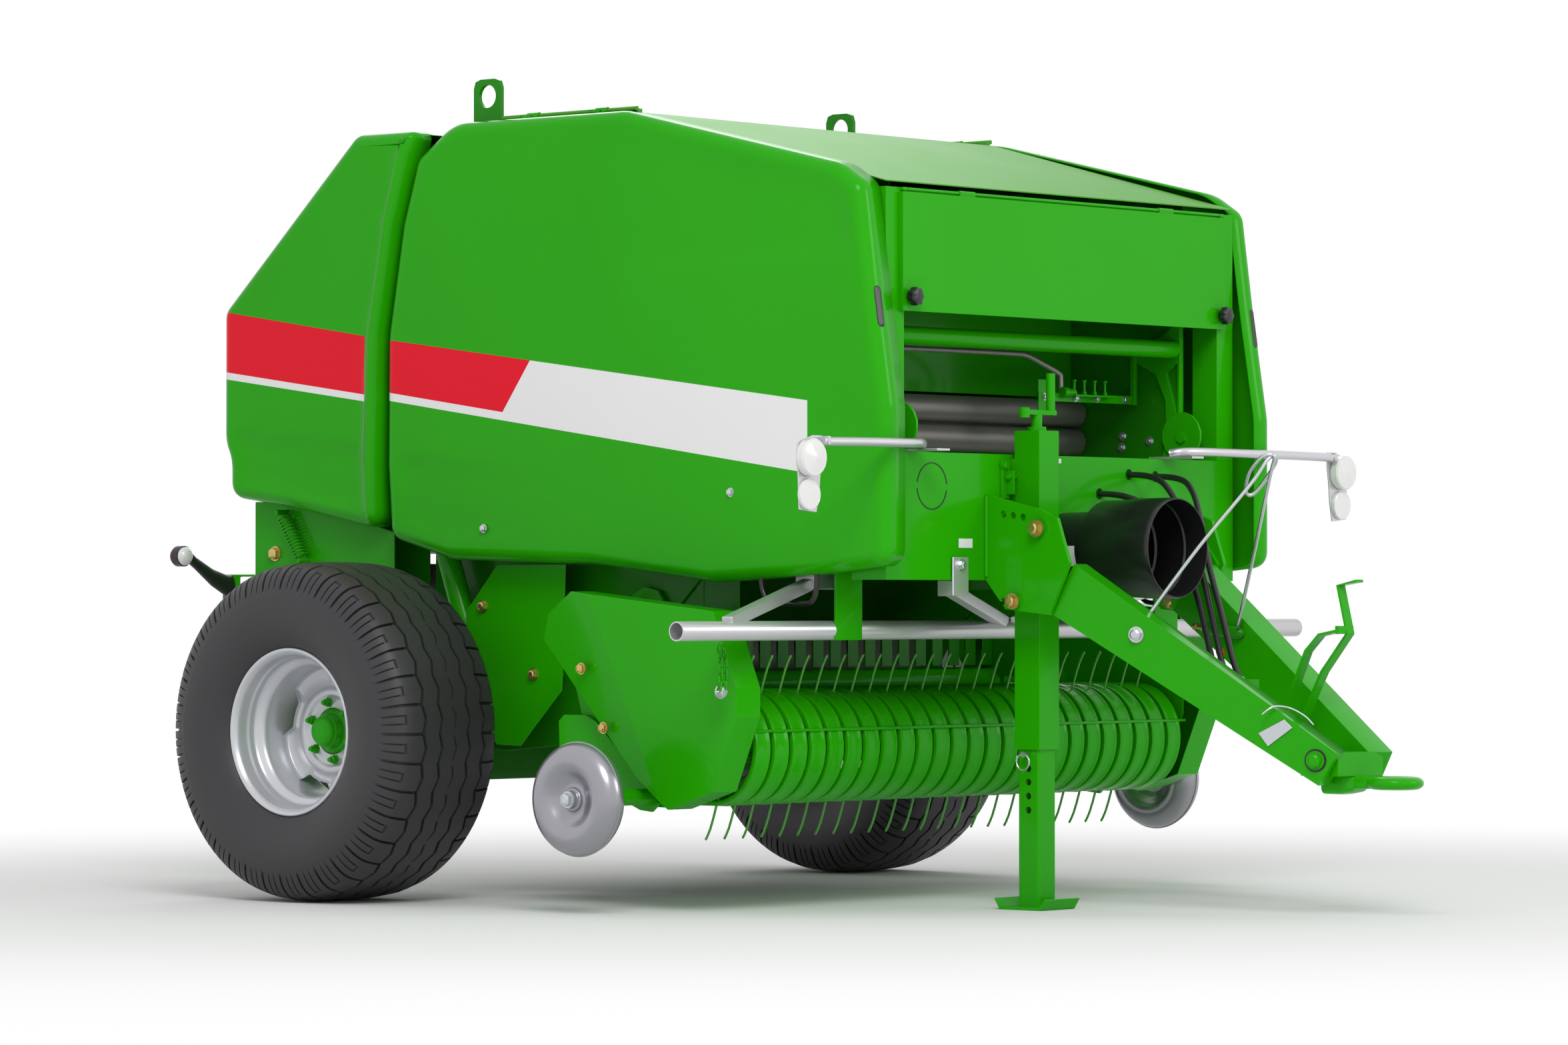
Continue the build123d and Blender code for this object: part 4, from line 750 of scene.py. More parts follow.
main_outline = [(-175, 2017), (-774, 2016), (-1484, 1850), (-1565, 1797), (-1600, 1540), (-1646, 1250),
                (-1646, 862), (-1405, 838), (-1070, 820), (-671, 866), (-167, 880), (50, 938), (64, 1130),
                (61, 1470), (8, 1760), (-47, 1930)]
rear_outline = [(-38, 2004), (180, 2004), (680, 1553), (680, 1200), (656, 1150), (656, 1052), (427, 1022),
                (92, 958), (98, 1130), (88, 1470), (32, 1760), (-22, 1940)]
rear_panel = drawn_in(soft_corners([(y / 1000, z / 1000) for y, z in rear_outline], .050), roll)
main_panel = drawn_in(soft_corners([(y / 1000, z / 1000) for y, z in main_outline], .050), roll)


def main_relief(y, z):
    """Two shallow steps that fade out along the panel."""
    calm = ease(nearness(Vector((y, z)), main_panel) / .05)
    lower = -.0065 * ease((1.150 + .10 * (y - .06) - z) / .030 + .5) * ease((y + .62) / .45)
    upper = -.0060 * ease((z - (1.600 - .045 * (y + .7))) / .034 + .5) * ease((-.62 - y) / .55)
    return calm * (lower + upper)


def seam_distance(y, z):
    """Distance forward of the rear shield's front edge."""
    line = [(-.022, 1.940), (.032, 1.760), (.088, 1.470), (.098, 1.130), (.092, .958)]
    best = 9.0
    for a, b in zip(line, line[1:]):
        a, b, p = Vector(a), Vector(b), Vector((y, z))
        t = max(0, min(1, (p - a).dot(b - a) / (b - a).length_squared))
        best = min(best, (p - a - (b - a) * t).length)
    return best


def front_ridge(y, z):
    """The ridge along the rear shield's front edge."""
    reach = seam_distance(y, z)
    return .011 * ease(reach / .012) * (1 - ease((reach - .020) / .020))


def no_ridge(y, z):
    """The main shield's rim is plain."""
    return 0


def rear_relief(y, z):
    """A step low on the panel."""
    calm = ease(nearness(Vector((y, z)), rear_panel) / .02)
    return calm * -.0085 * ease((1.168 + .10 * (y - .10) - z) / .030 + .5)


for side, s in (("right", -1), ("left", 1)):
    main = shield_piece(f"side_shield_{side}_moulded", f"side_shield_{side}", s, main_outline, main_relief, no_ridge)
    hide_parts(f"side_shield_{side}")
    finish_piece(main, f"side_shield_{side}", sharp=0)
    rear = shield_piece(f"rear_shield_{side}_moulded", "rear_shields", s, rear_outline, rear_relief, front_ridge)
    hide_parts("rear_shields")
    finish_piece(rear, "rear_shields", sharp=0)

# --- pick-up ------------------------------------------------------------------------
# Formed steel strips curve over the reel, a thin rod ties them together at the front, and
# spring tines on four bars reach out between them. Folded covers close off both ends.


def tube(shape, points, radius, sides=8, closed_ends=True):
    """A round wire along points."""
    points = [Vector(p) for p in points]
    rows, side = [], None
    for i, here in enumerate(points):
        ahead = (points[min(i + 1, len(points) - 1)] - points[max(i - 1, 0)]).normalized()
        side = ahead.orthogonal() if side is None else side - ahead * side.dot(ahead)
        side.normalize()
        over = ahead.cross(side)
        rows.append([here + radius * (side * cos(2 * pi * k / sides) + over * sin(2 * pi * k / sides))
                     for k in range(sides)])
    wrap(shape, rows)


def plain_mesh(shape, name):
    """A worked shape as a mesh, its faces turned outward."""
    bmesh.ops.recalc_face_normals(shape, faces=shape.faces)
    mesh = bpy.data.meshes.new(name)
    shape.to_mesh(mesh)
    shape.free()
    return mesh


across_tree = new_tree("set_across", {"Count": 25, "Pitch": .07, "Finish": None})
given = put(across_tree, "NodeGroupInput")
steps_between = put(across_tree, "ShaderNodeMath", {0: given.outputs["Count"], 1: 1.0}, operation="SUBTRACT")
half_way = put(across_tree, "ShaderNodeMath", {0: steps_between.outputs[0], 1: given.outputs["Pitch"]},
               operation="MULTIPLY")
first = put(across_tree, "ShaderNodeCombineXYZ", {"X": times(across_tree, half_way.outputs[0], -.5)})
pitch = put(across_tree, "ShaderNodeCombineXYZ", {"X": given.outputs["Pitch"]})
row = put(across_tree, "GeometryNodeMeshLine", {"Count": given.outputs["Count"], "Start Location": first.outputs[0],
                                                 "Offset": pitch.outputs[0]})
set_out = put(across_tree, "GeometryNodeInstanceOnPoints",
              {"Points": row.outputs[0], "Instance": given.outputs["Geometry"]})
end_tree(across_tree, set_out.outputs[0], given.outputs["Finish"])

reel_y, reel_z, band_radius, band_pitch, band_count = -1150, 408, 142, 70, 25
strip = [(-26.5, -11), (-26.5, -4), (-25, -.8), (-21, .3), (-10, 0), (8, 0), (17, .8), (21, 2.6), (24.5, 2.4),
         (26.5, 0), (26.5, -11), (24, -11), (24, -2.2), (20, -2.2), (8, -3), (-20, -3), (-24, -5), (-24, -11)]
line = [(-900 - 25 * i, 90, 0) for i in range(10)]
line += [(reel_y, 90 + 180 * i / 40, 1) for i in range(41)] + [(-1125 + 25 * i, 270, 0) for i in range(10)]
shape = bmesh.new()
rows = []
for y, angle, _ in line:
    turn = radians(angle)
    rows.append([at_axle(x, y + (band_radius + rise) * cos(turn), reel_z + (band_radius + rise) * sin(turn))
                 for x, rise in strip])
wrap(shape, rows)
bands = grow("pickup_strips", across_tree, plain_mesh(shape, "pickup_strip"),
             {"Count": band_count, "Pitch": band_pitch / 1000, "Finish": green})
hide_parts("pickup_bands")
finish_piece(bands, "pickup_bands", sharp=40)
shape = bmesh.new()
tube(shape, [at_axle(-894, -1287, 452), at_axle(0, -1290, 452), at_axle(894, -1287, 452)], .004)
tie = finish_shape(shape, "strip_tie_rod", green)
finish_piece(tie, "pickup_bands", sharp=40)

# spring tines: two turns round the bar, then a bent finger. The cam holds the front row
# drawn in behind the strips: (bar's angle, angle its tines point, their length)
tine_rows = ((114, 105, 152), (194, 312, 120), (294, 284, 152), (24, 10, 140))
tine_green = material("green_tines", (0.10, 0.42, 0.06), 0.35, coat=0.1, shine=0.3, mottle=0.1)
shape = bmesh.new()
spin(shape, [(-.889, .022), (.889, .022)], at_axle(0, reel_y, reel_z), 1, 24, closed=False)
for x in (-881, 0, 881):
    spin(shape, [(-.003, .108), (.003, .108)], at_axle(x, reel_y, reel_z), 1, 40, closed=False)
for angle, _, _ in tine_rows:
    y, z = reel_y + 92 * cos(radians(angle)), reel_z + 92 * sin(radians(angle))
    spin(shape, [(-.883, .009), (-.882, .011), (.882, .011), (.883, .009)], at_axle(0, y, z), 1, 16, closed=False)
reel = finish_shape(shape, "reel_shaft_and_bars", green)
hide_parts("tine_reel")
finish_piece(reel, "tine_reel", sharp=40)
for number, (bar_angle, tine_angle, reach) in enumerate(tine_rows, 1):
    shape = bmesh.new()
    by, bz = 92 * cos(radians(bar_angle)), 92 * sin(radians(bar_angle))
    coil = []
    for i in range(21):
        turn = radians(tine_angle - 90 + 720 * i / 20 - 720)
        coil.append(at_axle(-9 + 9 * i / 20, reel_y + by + 15 * cos(turn), reel_z + bz + 15 * sin(turn)))
    ahead = Vector((0, cos(radians(tine_angle)), sin(radians(tine_angle))))
    aside = Vector((0, ahead.z, -ahead.y))
    start = coil[-1]
    for t, bend in ((.12, 0), (.4, 0), (.62, .001), (.8, .0005), (.92, -.002), (1, -.005)):
        coil.append(start + ahead * (reach / 1000 * t) + aside * (bend - .015 * t))
    tube(shape, coil, .0031, 6)
    tines = grow(f"spring_tines_{number}", across_tree, plain_mesh(shape, "spring_tine"),
                 {"Count": band_count - 1, "Pitch": band_pitch / 1000, "Finish": tine_green})
    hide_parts("tine_reel")
    finish_piece(tines, "tine_reel", sharp=0)

dress("pickup_frame")
dress("pickup_covers", .0012, angle=8)
for side, s in (("right", -1), ("left", 1)):
    # a chain hung down the cover's front
    shape = bmesh.new()
    links_at = []
    for i in range(8):
        t = i / 7
        links_at.append(at_axle(s * 1046, -1343 - 6 * sin(pi * t), 655 - 105 * t))
    for i, here in enumerate(links_at[:-1]):
        # long chain links, each turned a quarter from the last, hung double
        for shift in (0, .016):
            ring = []
            for k in range(12):
                a = 2 * pi * k / 12
                flat = Vector((s * shift + .0055 * cos(a), 0, .0125 * sin(a))) if i % 2 else \
                    Vector((s * shift, .0055 * cos(a), .0125 * sin(a)))
                ring.append(here + flat)
            tube(shape, ring + ring[:1], .0021, 6)
    chain = finish_shape(shape, f"cover_chain_{side}", green)
    finish_piece(chain, "pickup_covers", sharp=0)
bolts("chain_bolts", "pickup_covers", [(s * 1050, -1336, 552, forward, 1.3) for s in (-1, 1)], white_zinc)

# --- hay comb -----------------------------------------------------------------------
# Sprung fingers in front of the chamber, darker because they sit in shade.
shape = bmesh.new()
finger = [(-21, -872), (21, -872), (21, -868), (-21, -868)]
wrap(shape, [[at_axle(x * k, y, z) for x, y in finger] for z, k in ((690, 1), (640, 1), (612, .8), (600, .4))])
comb = grow("comb_fingers", across_tree, plain_mesh(shape, "comb_finger"),
            {"Count": 17, "Pitch": .07, "Finish": painted_shade_green})
finish_piece(comb, "inlet_comb", sharp=30)
dress("inlet_comb", .001)

# the pan under the fingers leads the hay into the chamber
shape = bmesh.new()
pan = [(-800, 560), (-740, 520), (-640, 470), (-560, 470), (-560, 473), (-640, 473), (-738, 523), (-798, 563)]
wrap(shape, [[at_axle(x, y, z) for y, z in pan] for x in (-598, 598)])
# cheeks close the inlet between the pan and the chamber's walls
for s in (-1, 1):
    plain = [(-1000, 640), (-1000, 850), (-800, 850), (-800, 570), (-940, 570)]
    wrap(shape, [[at_axle(s * x, y, z) for y, z in plain] for x in (594, 598)])
# the pan and cheeks take the darker green, painted shade for the inside of the inlet
feed_pan = finish_shape(shape, "feed_pan", painted_shade_green)
finish_piece(feed_pan, "side_walls", sharp=30)

# --- gauge wheels -------------------------------------------------------------------
# Two pressed steel halves, painted satin silver, each with a deep round dish and a nut.
wheel_silver = material("wheel_silver", (0.34, 0.335, 0.37), 0.27, metallic=0.75, coat=0.3, grain=0.03,
                        grain_scale=500)
half_wheel = [(0, .1420), (.0008, .1420), (.0016, .1395), (.0060, .1390), (.0150, .1370), (.0250, .1310),
              (.0340, .1215), (.0395, .1090), (.0410, .0960), (.0395, .0840), (.0345, .0730), (.0270, .0640),
              (.0200, .0560), (.0150, .0470), (.0130, .0400), (.0130, .0330), (.0150, .0300), (.0215, .0290),
              (.0235, .0270), (.0240, .0250)]
nut = [(.0240, .0230), (.0255, .0215), (.0335, .0205), (.0350, .0180), (.0352, .0124)]
for side, s in (("right", -1), ("left", 1)):
    low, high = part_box(f"gauge_wheel_{side}")
    centre = (low + high) / 2
    shape = bmesh.new()
    profile = half_wheel + nut
    spin(shape, [(-x, r) for x, r in profile[::-1]] + profile[1:], centre, s, 96)
    pressed = finish_shape(shape, f"gauge_wheel_{side}_pressed", wheel_silver)
    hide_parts(f"gauge_wheel_{side}")
    finish_piece(pressed, f"gauge_wheel_{side}", sharp=45)

# --- guard bar ----------------------------------------------------------------------
# A satin silver tube across the front, open at both ends, on four square struts.


def turned(shape, profile, base, aim, steps=32, closed=False):
    """A turned shape: a profile of (distance along aim, radius) set at base."""
    aim = Vector(aim).normalized()
    side = aim.orthogonal().normalized()
    over = aim.cross(side)
    wrap(shape, [[base + aim * out + radius * (side * cos(2 * pi * i / steps) + over * sin(2 * pi * i / steps))
                  for i in range(steps)] for out, radius in profile], closed=closed)


def plain_bar(shape, start, end, wide, high):
    """A square-edged bar between two places, for bevelling."""
    start, end = Vector(start), Vector(end)
    ahead = (end - start).normalized()
    side = ahead.cross(upward).normalized() if abs(ahead.z) < .99 else outward.copy()
    over = side.cross(ahead)
    corners = [(-1, -1), (1, -1), (1, 1), (-1, 1)]
    wrap(shape, [[here + side * (a * wide / 2) + over * (b * high / 2) for a, b in corners] for here in (start, end)])


def plain_block(shape, low, high):
    """A block between two corners, for bevelling."""
    (x0, y0, z0), (x1, y1, z1) = low, high
    wrap(shape, [[Vector((x, y, z)) for x, y in ((x0, y0), (x1, y0), (x1, y1), (x0, y1))] for z in (z0, z1)])


def edged(shape, name, width, finish, segments=2, angle=35):
    """A worked shape with its edges rounded over."""
    piece = finish_shape(shape, name, finish)
    for polygon in piece.data.polygons:
        polygon.use_smooth = True
    edge = piece.modifiers.new("edge", "BEVEL")
    edge.width, edge.segments = width, segments
    edge.limit_method, edge.angle_limit = "ANGLE", radians(angle)
    level = piece.modifiers.new("level", "WEIGHTED_NORMAL")
    level.keep_sharp = True
    return piece


bar_y, bar_z, bar_half = -1385, 700, 1.265
shape = bmesh.new()
turned(shape, [(-bar_half, .0205), (-bar_half, .0235), (-bar_half + .001, .0240), (bar_half - .001, .0240),
               (bar_half, .0235), (bar_half, .0205), (bar_half - .060, .0205), (bar_half - .061, .0005),
               (-bar_half + .061, .0005), (-bar_half + .060, .0205)],
       at_axle(0, bar_y, bar_z), outward, 40, closed=True)
bar = finish_shape(shape, "guard_bar_tube", zinc)
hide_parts("guard_bar")
finish_piece(bar, "guard_bar", sharp=40)
shape = bmesh.new()
for s in (-1, 1):
    plain_bar(shape, at_axle(s * 423, -1545, 801), at_axle(s * 10, bar_y, bar_z + 18), .030, .030)
    plain_bar(shape, at_axle(s * 690, -1310, 815), at_axle(s * 1080, bar_y, bar_z + 20), .030, .030)
    plain_block(shape, at_axle(s * 600, -1345, 801), at_axle(s * 700, -1275, 850))
    plain_block(shape, at_axle(s * 403, -1570, 785), at_axle(s * 443, -1520, 825))
    # the foot of the front strut: a plate with a bolt, up the face of the beam
    plain_block(shape, at_axle(s * 401, -1588, 786), at_axle(s * 463, -1582, 882))
struts = edged(shape, "guard_bar_struts", .003, zinc)
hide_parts("guard_bar")
finish_piece(struts, "guard_bar", sharp=0)
shape = bmesh.new()
for s in (-1, 1):
    # green hangers carry the bar from under the chamber walls
    plain_block(shape, at_axle(s * 600, -1409, bar_z - 24), at_axle(s * 700, -1401, 850))
    plain_block(shape, at_axle(s * 600, -1401, 790), at_axle(s * 606, -1340, 850))
hangers = edged(shape, "guard_bar_hangers", .0015, green)
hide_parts("guard_bar")
finish_piece(hangers, "guard_bar", sharp=0)
bolts("strut_bolts", "guard_bar", [(s * 432, -1588, 862, forward, 1.1) for s in (-1, 1)], white_zinc)

# --- lamps --------------------------------------------------------------------------
# A bent tube carries a small plate with a round lamp and a reflector below it.
frosted = material("lamp_white", (0.78, 0.78, 0.77), 0.18, coat=0.6, grain=0.5, grain_scale=260, mottle=0.08)
for side, s in (("right", -1), ("left", 1)):
    shape = bmesh.new()
    inner_end = 600 if s < 0 else 410
    route = smooth_line([(s * inner_end, -1600, 1155), (s * (inner_end + 50), -1640, 1160), (s * 720, -1668, 1158),
                         (s * 900, -1668, 1157), (s * 1055, -1665, 1155)], 6)
    tube(shape, [at_axle(*p) for p in route], .0115, 16)
    arm = finish_shape(shape, f"lamp_arm_{side}_tube", zinc)
    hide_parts("lamp_arms")
    finish_piece(arm, "lamp_arms", sharp=50)
    shape = bmesh.new()
    plain_block(shape, at_axle(s * (inner_end - 10), -1682, 1141), at_axle(s * (inner_end + 40), -1540, 1147))
    # the plate's outline hugs the lamp and the reflector
    outline = [(-56, 29), (-20, 29), (34, 12), (40, -18), (34, -60), (32, -100), (30, -150), (-34, -156), (-44, -110),
               (-50, -50), (-56, -10)]
    wrap(shape, [[at_axle(s * (1095 + x), y, 1141 + z) for x, z in outline] for y in (-1650, -1654)])
    plain_block(shape, at_axle(s * 1039, -1680, 1147), at_axle(s * 1047, -1650, 1168))
    plate = edged(shape, f"lamp_plate_{side}", .0015, zinc)
    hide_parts("lamp_arms")
    finish_piece(plate, "lamp_arms", sharp=0)
    shape = bmesh.new()
    back, front = Vector((s * 1.095, -1.6543 + axle_y, 1.116)), Vector((0, -1, 0))
    rings_out = [(0, .044), (.004, .046), (.020, .0455), (.0215, .0435), (.0235, .0430)]
    for i in range(1, 5):
        rings_out += [(.0235 + .0016 * i - .001, .043 - .0095 * i + .004), (.0235 + .0016 * i, .043 - .0095 * i)]
    turned(shape, rings_out + [(.0305, .0005)], back, front, 40)
    low_back = Vector((s * 1.095, -1.6543 + axle_y, 1.028))
    turned(shape, [(0, .037), (.003, .038), (.009, .0375), (.0105, .0345), (.0095, .0335), (.0112, .0005)], low_back,
           front, 40)
    lens = finish_shape(shape, f"lamp_lens_{side}", frosted)
    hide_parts("lamp_lenses")
    finish_piece(lens, "lamp_lenses", sharp=25)

# --- drive shaft guard --------------------------------------------------------------
# A black plastic cup bolted round the gearbox shaft, stepped, ribbed inside, its mouth
# rolled, with a blank white sticker on its neck.
guard_base, guard_out = at_axle(0, -1580.3, 905), Vector((0, -1, 0))
cup = [(0, .0870), (0, .0920), (.1200, .0945), (.1260, .1010), (.1310, .1195), (.1350, .1215), (.2550, .1245),
       (.2600, .1262), (.3400, .1268), (.3500, .1262), (.3547, .1245), (.3547, .1222), (.3500, .1212), (.2900, .1205),
       (.2860, .1165), (.2820, .1165), (.2780, .1200), (.2000, .1190), (.1960, .1135), (.1910, .1135), (.1870, .1185),
       (.1380, .1175), (.1340, .1150), (.1300, .0960), (.1240, .0900)]
shape = bmesh.new()
turned(shape, cup, guard_base, guard_out, 96, closed=True)
guard = finish_shape(shape, "shaft_guard_cup", black)
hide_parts("pto_guard")
finish_piece(guard, "pto_guard", sharp=40)
paper = material("blank_label", (0.80, 0.80, 0.80), 0.45, mottle=0.03)
shape = bmesh.new()
turns = [radians(a) for a in (-28, -20, -12, -4, 4)]
loops = []
for along in (.070, .100):
    outer = [guard_base + guard_out * along + .0946 * Vector((-cos(t), 0, sin(t))) for t in turns]
    inner = [guard_base + guard_out * along + .0925 * Vector((-cos(t), 0, sin(t))) for t in turns[::-1]]
    loops.append(outer + inner)
wrap(shape, loops)
label = finish_shape(shape, "guard_label", paper)
finish_piece(label, "pto_guard", sharp=40)
# splined end of the gearbox shaft, inside the cup
low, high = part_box("pto_shaft")
centre = (low + high) / 2
shape = bmesh.new()
loops = []
for along, cut in ((0, 1), (.076, 1), (.082, 0), (high.y - low.y, 0)):
    loops.append([Vector((centre.x + (.01745 - cut * (.0026 if i % 8 in (0, 1, 2) else 0)) * cos(2 * pi * i / 48),
                          low.y + along,
                          centre.z + (.01745 - cut * (.0026 if i % 8 in (0, 1, 2) else 0)) * sin(2 * pi * i / 48)))
                  for i in range(48)])
wrap(shape, loops)
spline = edged(shape, "splined_shaft", .0006, steel)
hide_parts("pto_shaft")
finish_piece(spline, "pto_shaft", sharp=0)

# --- shield fittings ----------------------------------------------------------------
# Each main shield hangs on two sleeves over the roof's hinge rod. Low down it has a black
# tube handle and a screw, and its front has a slot with a rubber lip.
for side, s in (("right", -1), ("left", 1)):
    shape = bmesh.new()
    for y in (-640, -400):
        turned(shape, [(-.020, .0063), (-.020, .0085), (-.019, .0092), (.019, .0092), (.020, .0085), (.020, .0063)],
               at_axle(s * 717, y, 2026), forward, 24, closed=True)
        plain_block(shape, at_axle(s * 722, y - 18, 2021), at_axle(s * 748, y + 18, 2026))
        plain_block(shape, at_axle(s * 742, y - 18, 2008), at_axle(s * 748, y + 18, 2026))
    sleeves = edged(shape, f"shield_sleeves_{side}", .001, green)
    finish_piece(sleeves, f"side_shield_{side}", sharp=0)
    shape = bmesh.new()
    grip = smooth_line([(s * 768, -1222, 850), (s * 768, -1226, 806), (s * 768, -1243, 777), (s * 768, -1275, 768),
                        (s * 768, -1365, 766), (s * 768, -1391, 775), (s * 768, -1402, 802),
                        (s * 768, -1404, 850)], 5)
    tube(shape, [at_axle(*p) for p in grip], .0068, 14)
    handle = finish_shape(shape, f"shield_handle_{side}", black)
    finish_piece(handle, f"side_shield_{side}", sharp=50)
    shape = bmesh.new()
    loops = []
    for grown, lift in ((1, -.0015), (1, .0010), (.86, .0016), (.80, .0006), (.30, .0002)):
        loop = []
        for i in range(28):
            a = 2 * pi * i / 28
            x = .771 + .0105 * grown * cos(a)
            z = 1.492 + (.040 if sin(a) > 0 else -.040) + .0105 * grown * sin(a)
            rise = 1 - (shield_outer - x) / roll
            back = roll * (1 - (1 - min(1, max(0, rise)) ** 2) ** .5)
            y = -1.6000 - (1.540 - z) * .1586 + back
            loop.append(Vector((s * x, y - lift + axle_y, z)))
        loops.append(loop)
    wrap(shape, loops)
    slot = finish_shape(shape, f"shield_slot_{side}", black)
    finish_piece(slot, f"side_shield_{side}", sharp=50)
    bolts(f"shield_screw_{side}", f"side_shield_{side}",
          [(s * 799.5, -1149, 1043, outward * s, .85), (s * 799.5, -300, 960, outward * s, .85)], white_zinc)

# --- hood knobs ---------------------------------------------------------------------
# Black star knobs hold the hood's lower corners.
for name, s in (("right", -1), ("left", 1)):
    shape = bmesh.new()
    loops = []
    for out, radius in ((.0005, .011), (.0070, .011), (.0080, .0190), (.0110, .0215), (.0250, .0220), (.0290, .0200),
                        (.0310, .0160), (.0315, .0050)):
        loops.append([at_axle(s * 640, -1594.3, 1521) + Vector((
            radius * (1 + (.07 * cos(7 * 2 * pi * i / 56) if radius > .015 else 0)) * cos(2 * pi * i / 56), -out,
            radius * (1 + (.07 * cos(7 * 2 * pi * i / 56) if radius > .015 else 0)) * sin(2 * pi * i / 56)))
            for i in range(56)])
    wrap(shape, loops)
    knob = finish_shape(shape, f"hood_knob_{name}", black)
    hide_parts("hood_knobs")
    finish_piece(knob, "hood_knobs", sharp=35)

# --- beam fittings ------------------------------------------------------------------
# The knock-out ring pressed in the beam's face, blank stickers, the weld that holds each
# pivot plate, and a latch plate beside the jack.
shape = bmesh.new()
for start, end in ((6, 172), (186, 352)):
    loops = []
    for out, radius in ((.0012, .0560), (.0012, .0588), (-.002, .0588), (-.002, .0560)):
        loops.append([at_axle(-537, -1580, 1057) + Vector((radius * cos(radians(a)), -out, radius * sin(radians(a))))
                      for a in range(start, end, 4)])
    strips = [list(p) for p in zip(*loops)]
    wrap(shape, strips)
ring = finish_shape(shape, "knock_out_ring", rubber)
finish_piece(ring, "front_beam", sharp=40)
shape = bmesh.new()
plain_block(shape, at_axle(-432, -1581, 905), at_axle(-378, -1580, 928))
plain_block(shape, at_axle(-60, -1581, 1122), at_axle(-20, -1580, 1134))
stickers = edged(shape, "beam_stickers", .0003, paper)
finish_piece(stickers, "front_beam", sharp=0)
shape = bmesh.new()
for s in (-1, 1):
    bead = [at_axle(s * 327, -1583, 833 + 201 * i / 50) + Vector((0, -.0008 * (i % 3), 0)) for i in range(51)]
    tube(shape, bead, .0055, 8)
welds = finish_shape(shape, "pivot_plate_welds", green)
finish_piece(welds, "drawbar_plates", sharp=0)
shape = bmesh.new()
plain_block(shape, at_axle(-268, -1588, 1030), at_axle(-236, -1580, 1125))
plain_block(shape, at_axle(-252, -1612, 1040), at_axle(-246, -1586, 1100))
turned(shape, [(0, .007), (.030, .007), (.032, .005)], at_axle(-262, -1600, 1084), outward, 16)
latch = edged(shape, "jack_latch", .001, green)
finish_piece(latch, "front_beam", sharp=0)
bolts("latch_bolts", "front_beam", [(-262, -1588, 1112, forward, .8), (-240, -1588, 1050, forward, .8)], green)

# --- jack ---------------------------------------------------------------------------
# A square leg slides in a square tube. Pin holes run through it, and a ring pin sets it.
shape = bmesh.new()
leg_x, leg_y, leg_half, leg_wall, pin_radius, pin_steps = -.190, -1.636 + axle_y, .0346, .0050, .0088, 16
levels = [.008, .232, .266, .302, .336, .370, .900]


def square_loop(half, corner, z):
    """A square with rounded corners, level at height z, about the leg's line."""
    loop = []
    for quarter in range(4):
        x, y = ((1, -1), (1, 1), (-1, 1), (-1, -1))[quarter]
        for t in (radians(90 * quarter - 90), radians(90 * quarter)):
            loop.append(Vector((leg_x + x * (half - corner) + corner * cos(t),
                                leg_y + y * (half - corner) + corner * sin(t), z)))
    return loop


wrap(shape, [square_loop(leg_half, .006, z) for z in levels] +
     [square_loop(leg_half - leg_wall, .002, z) for z in levels[::-1]], closed=True)
bmesh.ops.recalc_face_normals(shape, faces=shape.faces)
rims = {}
for face in list(shape.faces):
    middle = face.calc_center_median()
    if abs(face.normal.x) < .99 or face.calc_area() < .0008 or not .2 < middle.z < .38:
        continue
    hole = [shape.verts.new(middle + pin_radius * Vector((0, cos(2 * pi * (i + .5) / pin_steps),
                                                          sin(2 * pi * (i + .5) / pin_steps))))
            for i in range(pin_steps)]
    rims.setdefault((round(middle.z, 3), middle.x > leg_x), []).append(hole)
    corners = list(face.verts)
    nearest = [min(range(pin_steps), key=lambda k: (hole[k].co - v.co).length) for v in corners]
    shape.faces.remove(face)
    for i in range(4):
        start, end = nearest[i], nearest[(i + 1) % 4]
        step = 1 if (end - start) % pin_steps <= pin_steps // 2 else -1
        arc = [start]
        while arc[-1] != end:
            arc.append((arc[-1] + step) % pin_steps)
        shape.faces.new([corners[i], corners[(i + 1) % 4]] + [hole[k] for k in arc[::-1]])
for outer, inner in rims.values():
    for i in range(pin_steps):
        shape.faces.new([outer[i - 1], outer[i], inner[i], inner[i - 1]])
leg = finish_shape(shape, "jack_leg_tube", green)
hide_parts("jack_leg")
finish_piece(leg, "jack_leg", sharp=32)
shape = bmesh.new()
foot = [(-82, 27), (-66, 2), (-62, 0), (62, 0), (66, 2), (82, 27), (78, 29), (63, 8), (-63, 8), (-78, 29)]
wrap(shape, [[at_axle(x, -1636 + y, z) for y, z in foot] for x in (-260, -120)])
foot = edged(shape, "jack_foot", .0012, green)
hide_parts("jack_leg")
finish_piece(foot, "jack_leg", sharp=0)
shape = bmesh.new()
turned(shape, [(0, .007), (.016, .007), (.017, .006)], at_axle(-248, -1636, 388), outward, 16)
ring = [at_axle(-247, -1636 + 20 * cos(radians(a)), 370 + 20 * sin(radians(a))) for a in range(0, 361, 20)]
tube(shape, ring, .0022, 8)
pin = finish_shape(shape, "jack_pin", white_zinc)
finish_piece(pin, "jack_tube", sharp=40)
dress("jack_crank", .0016, angle=50)

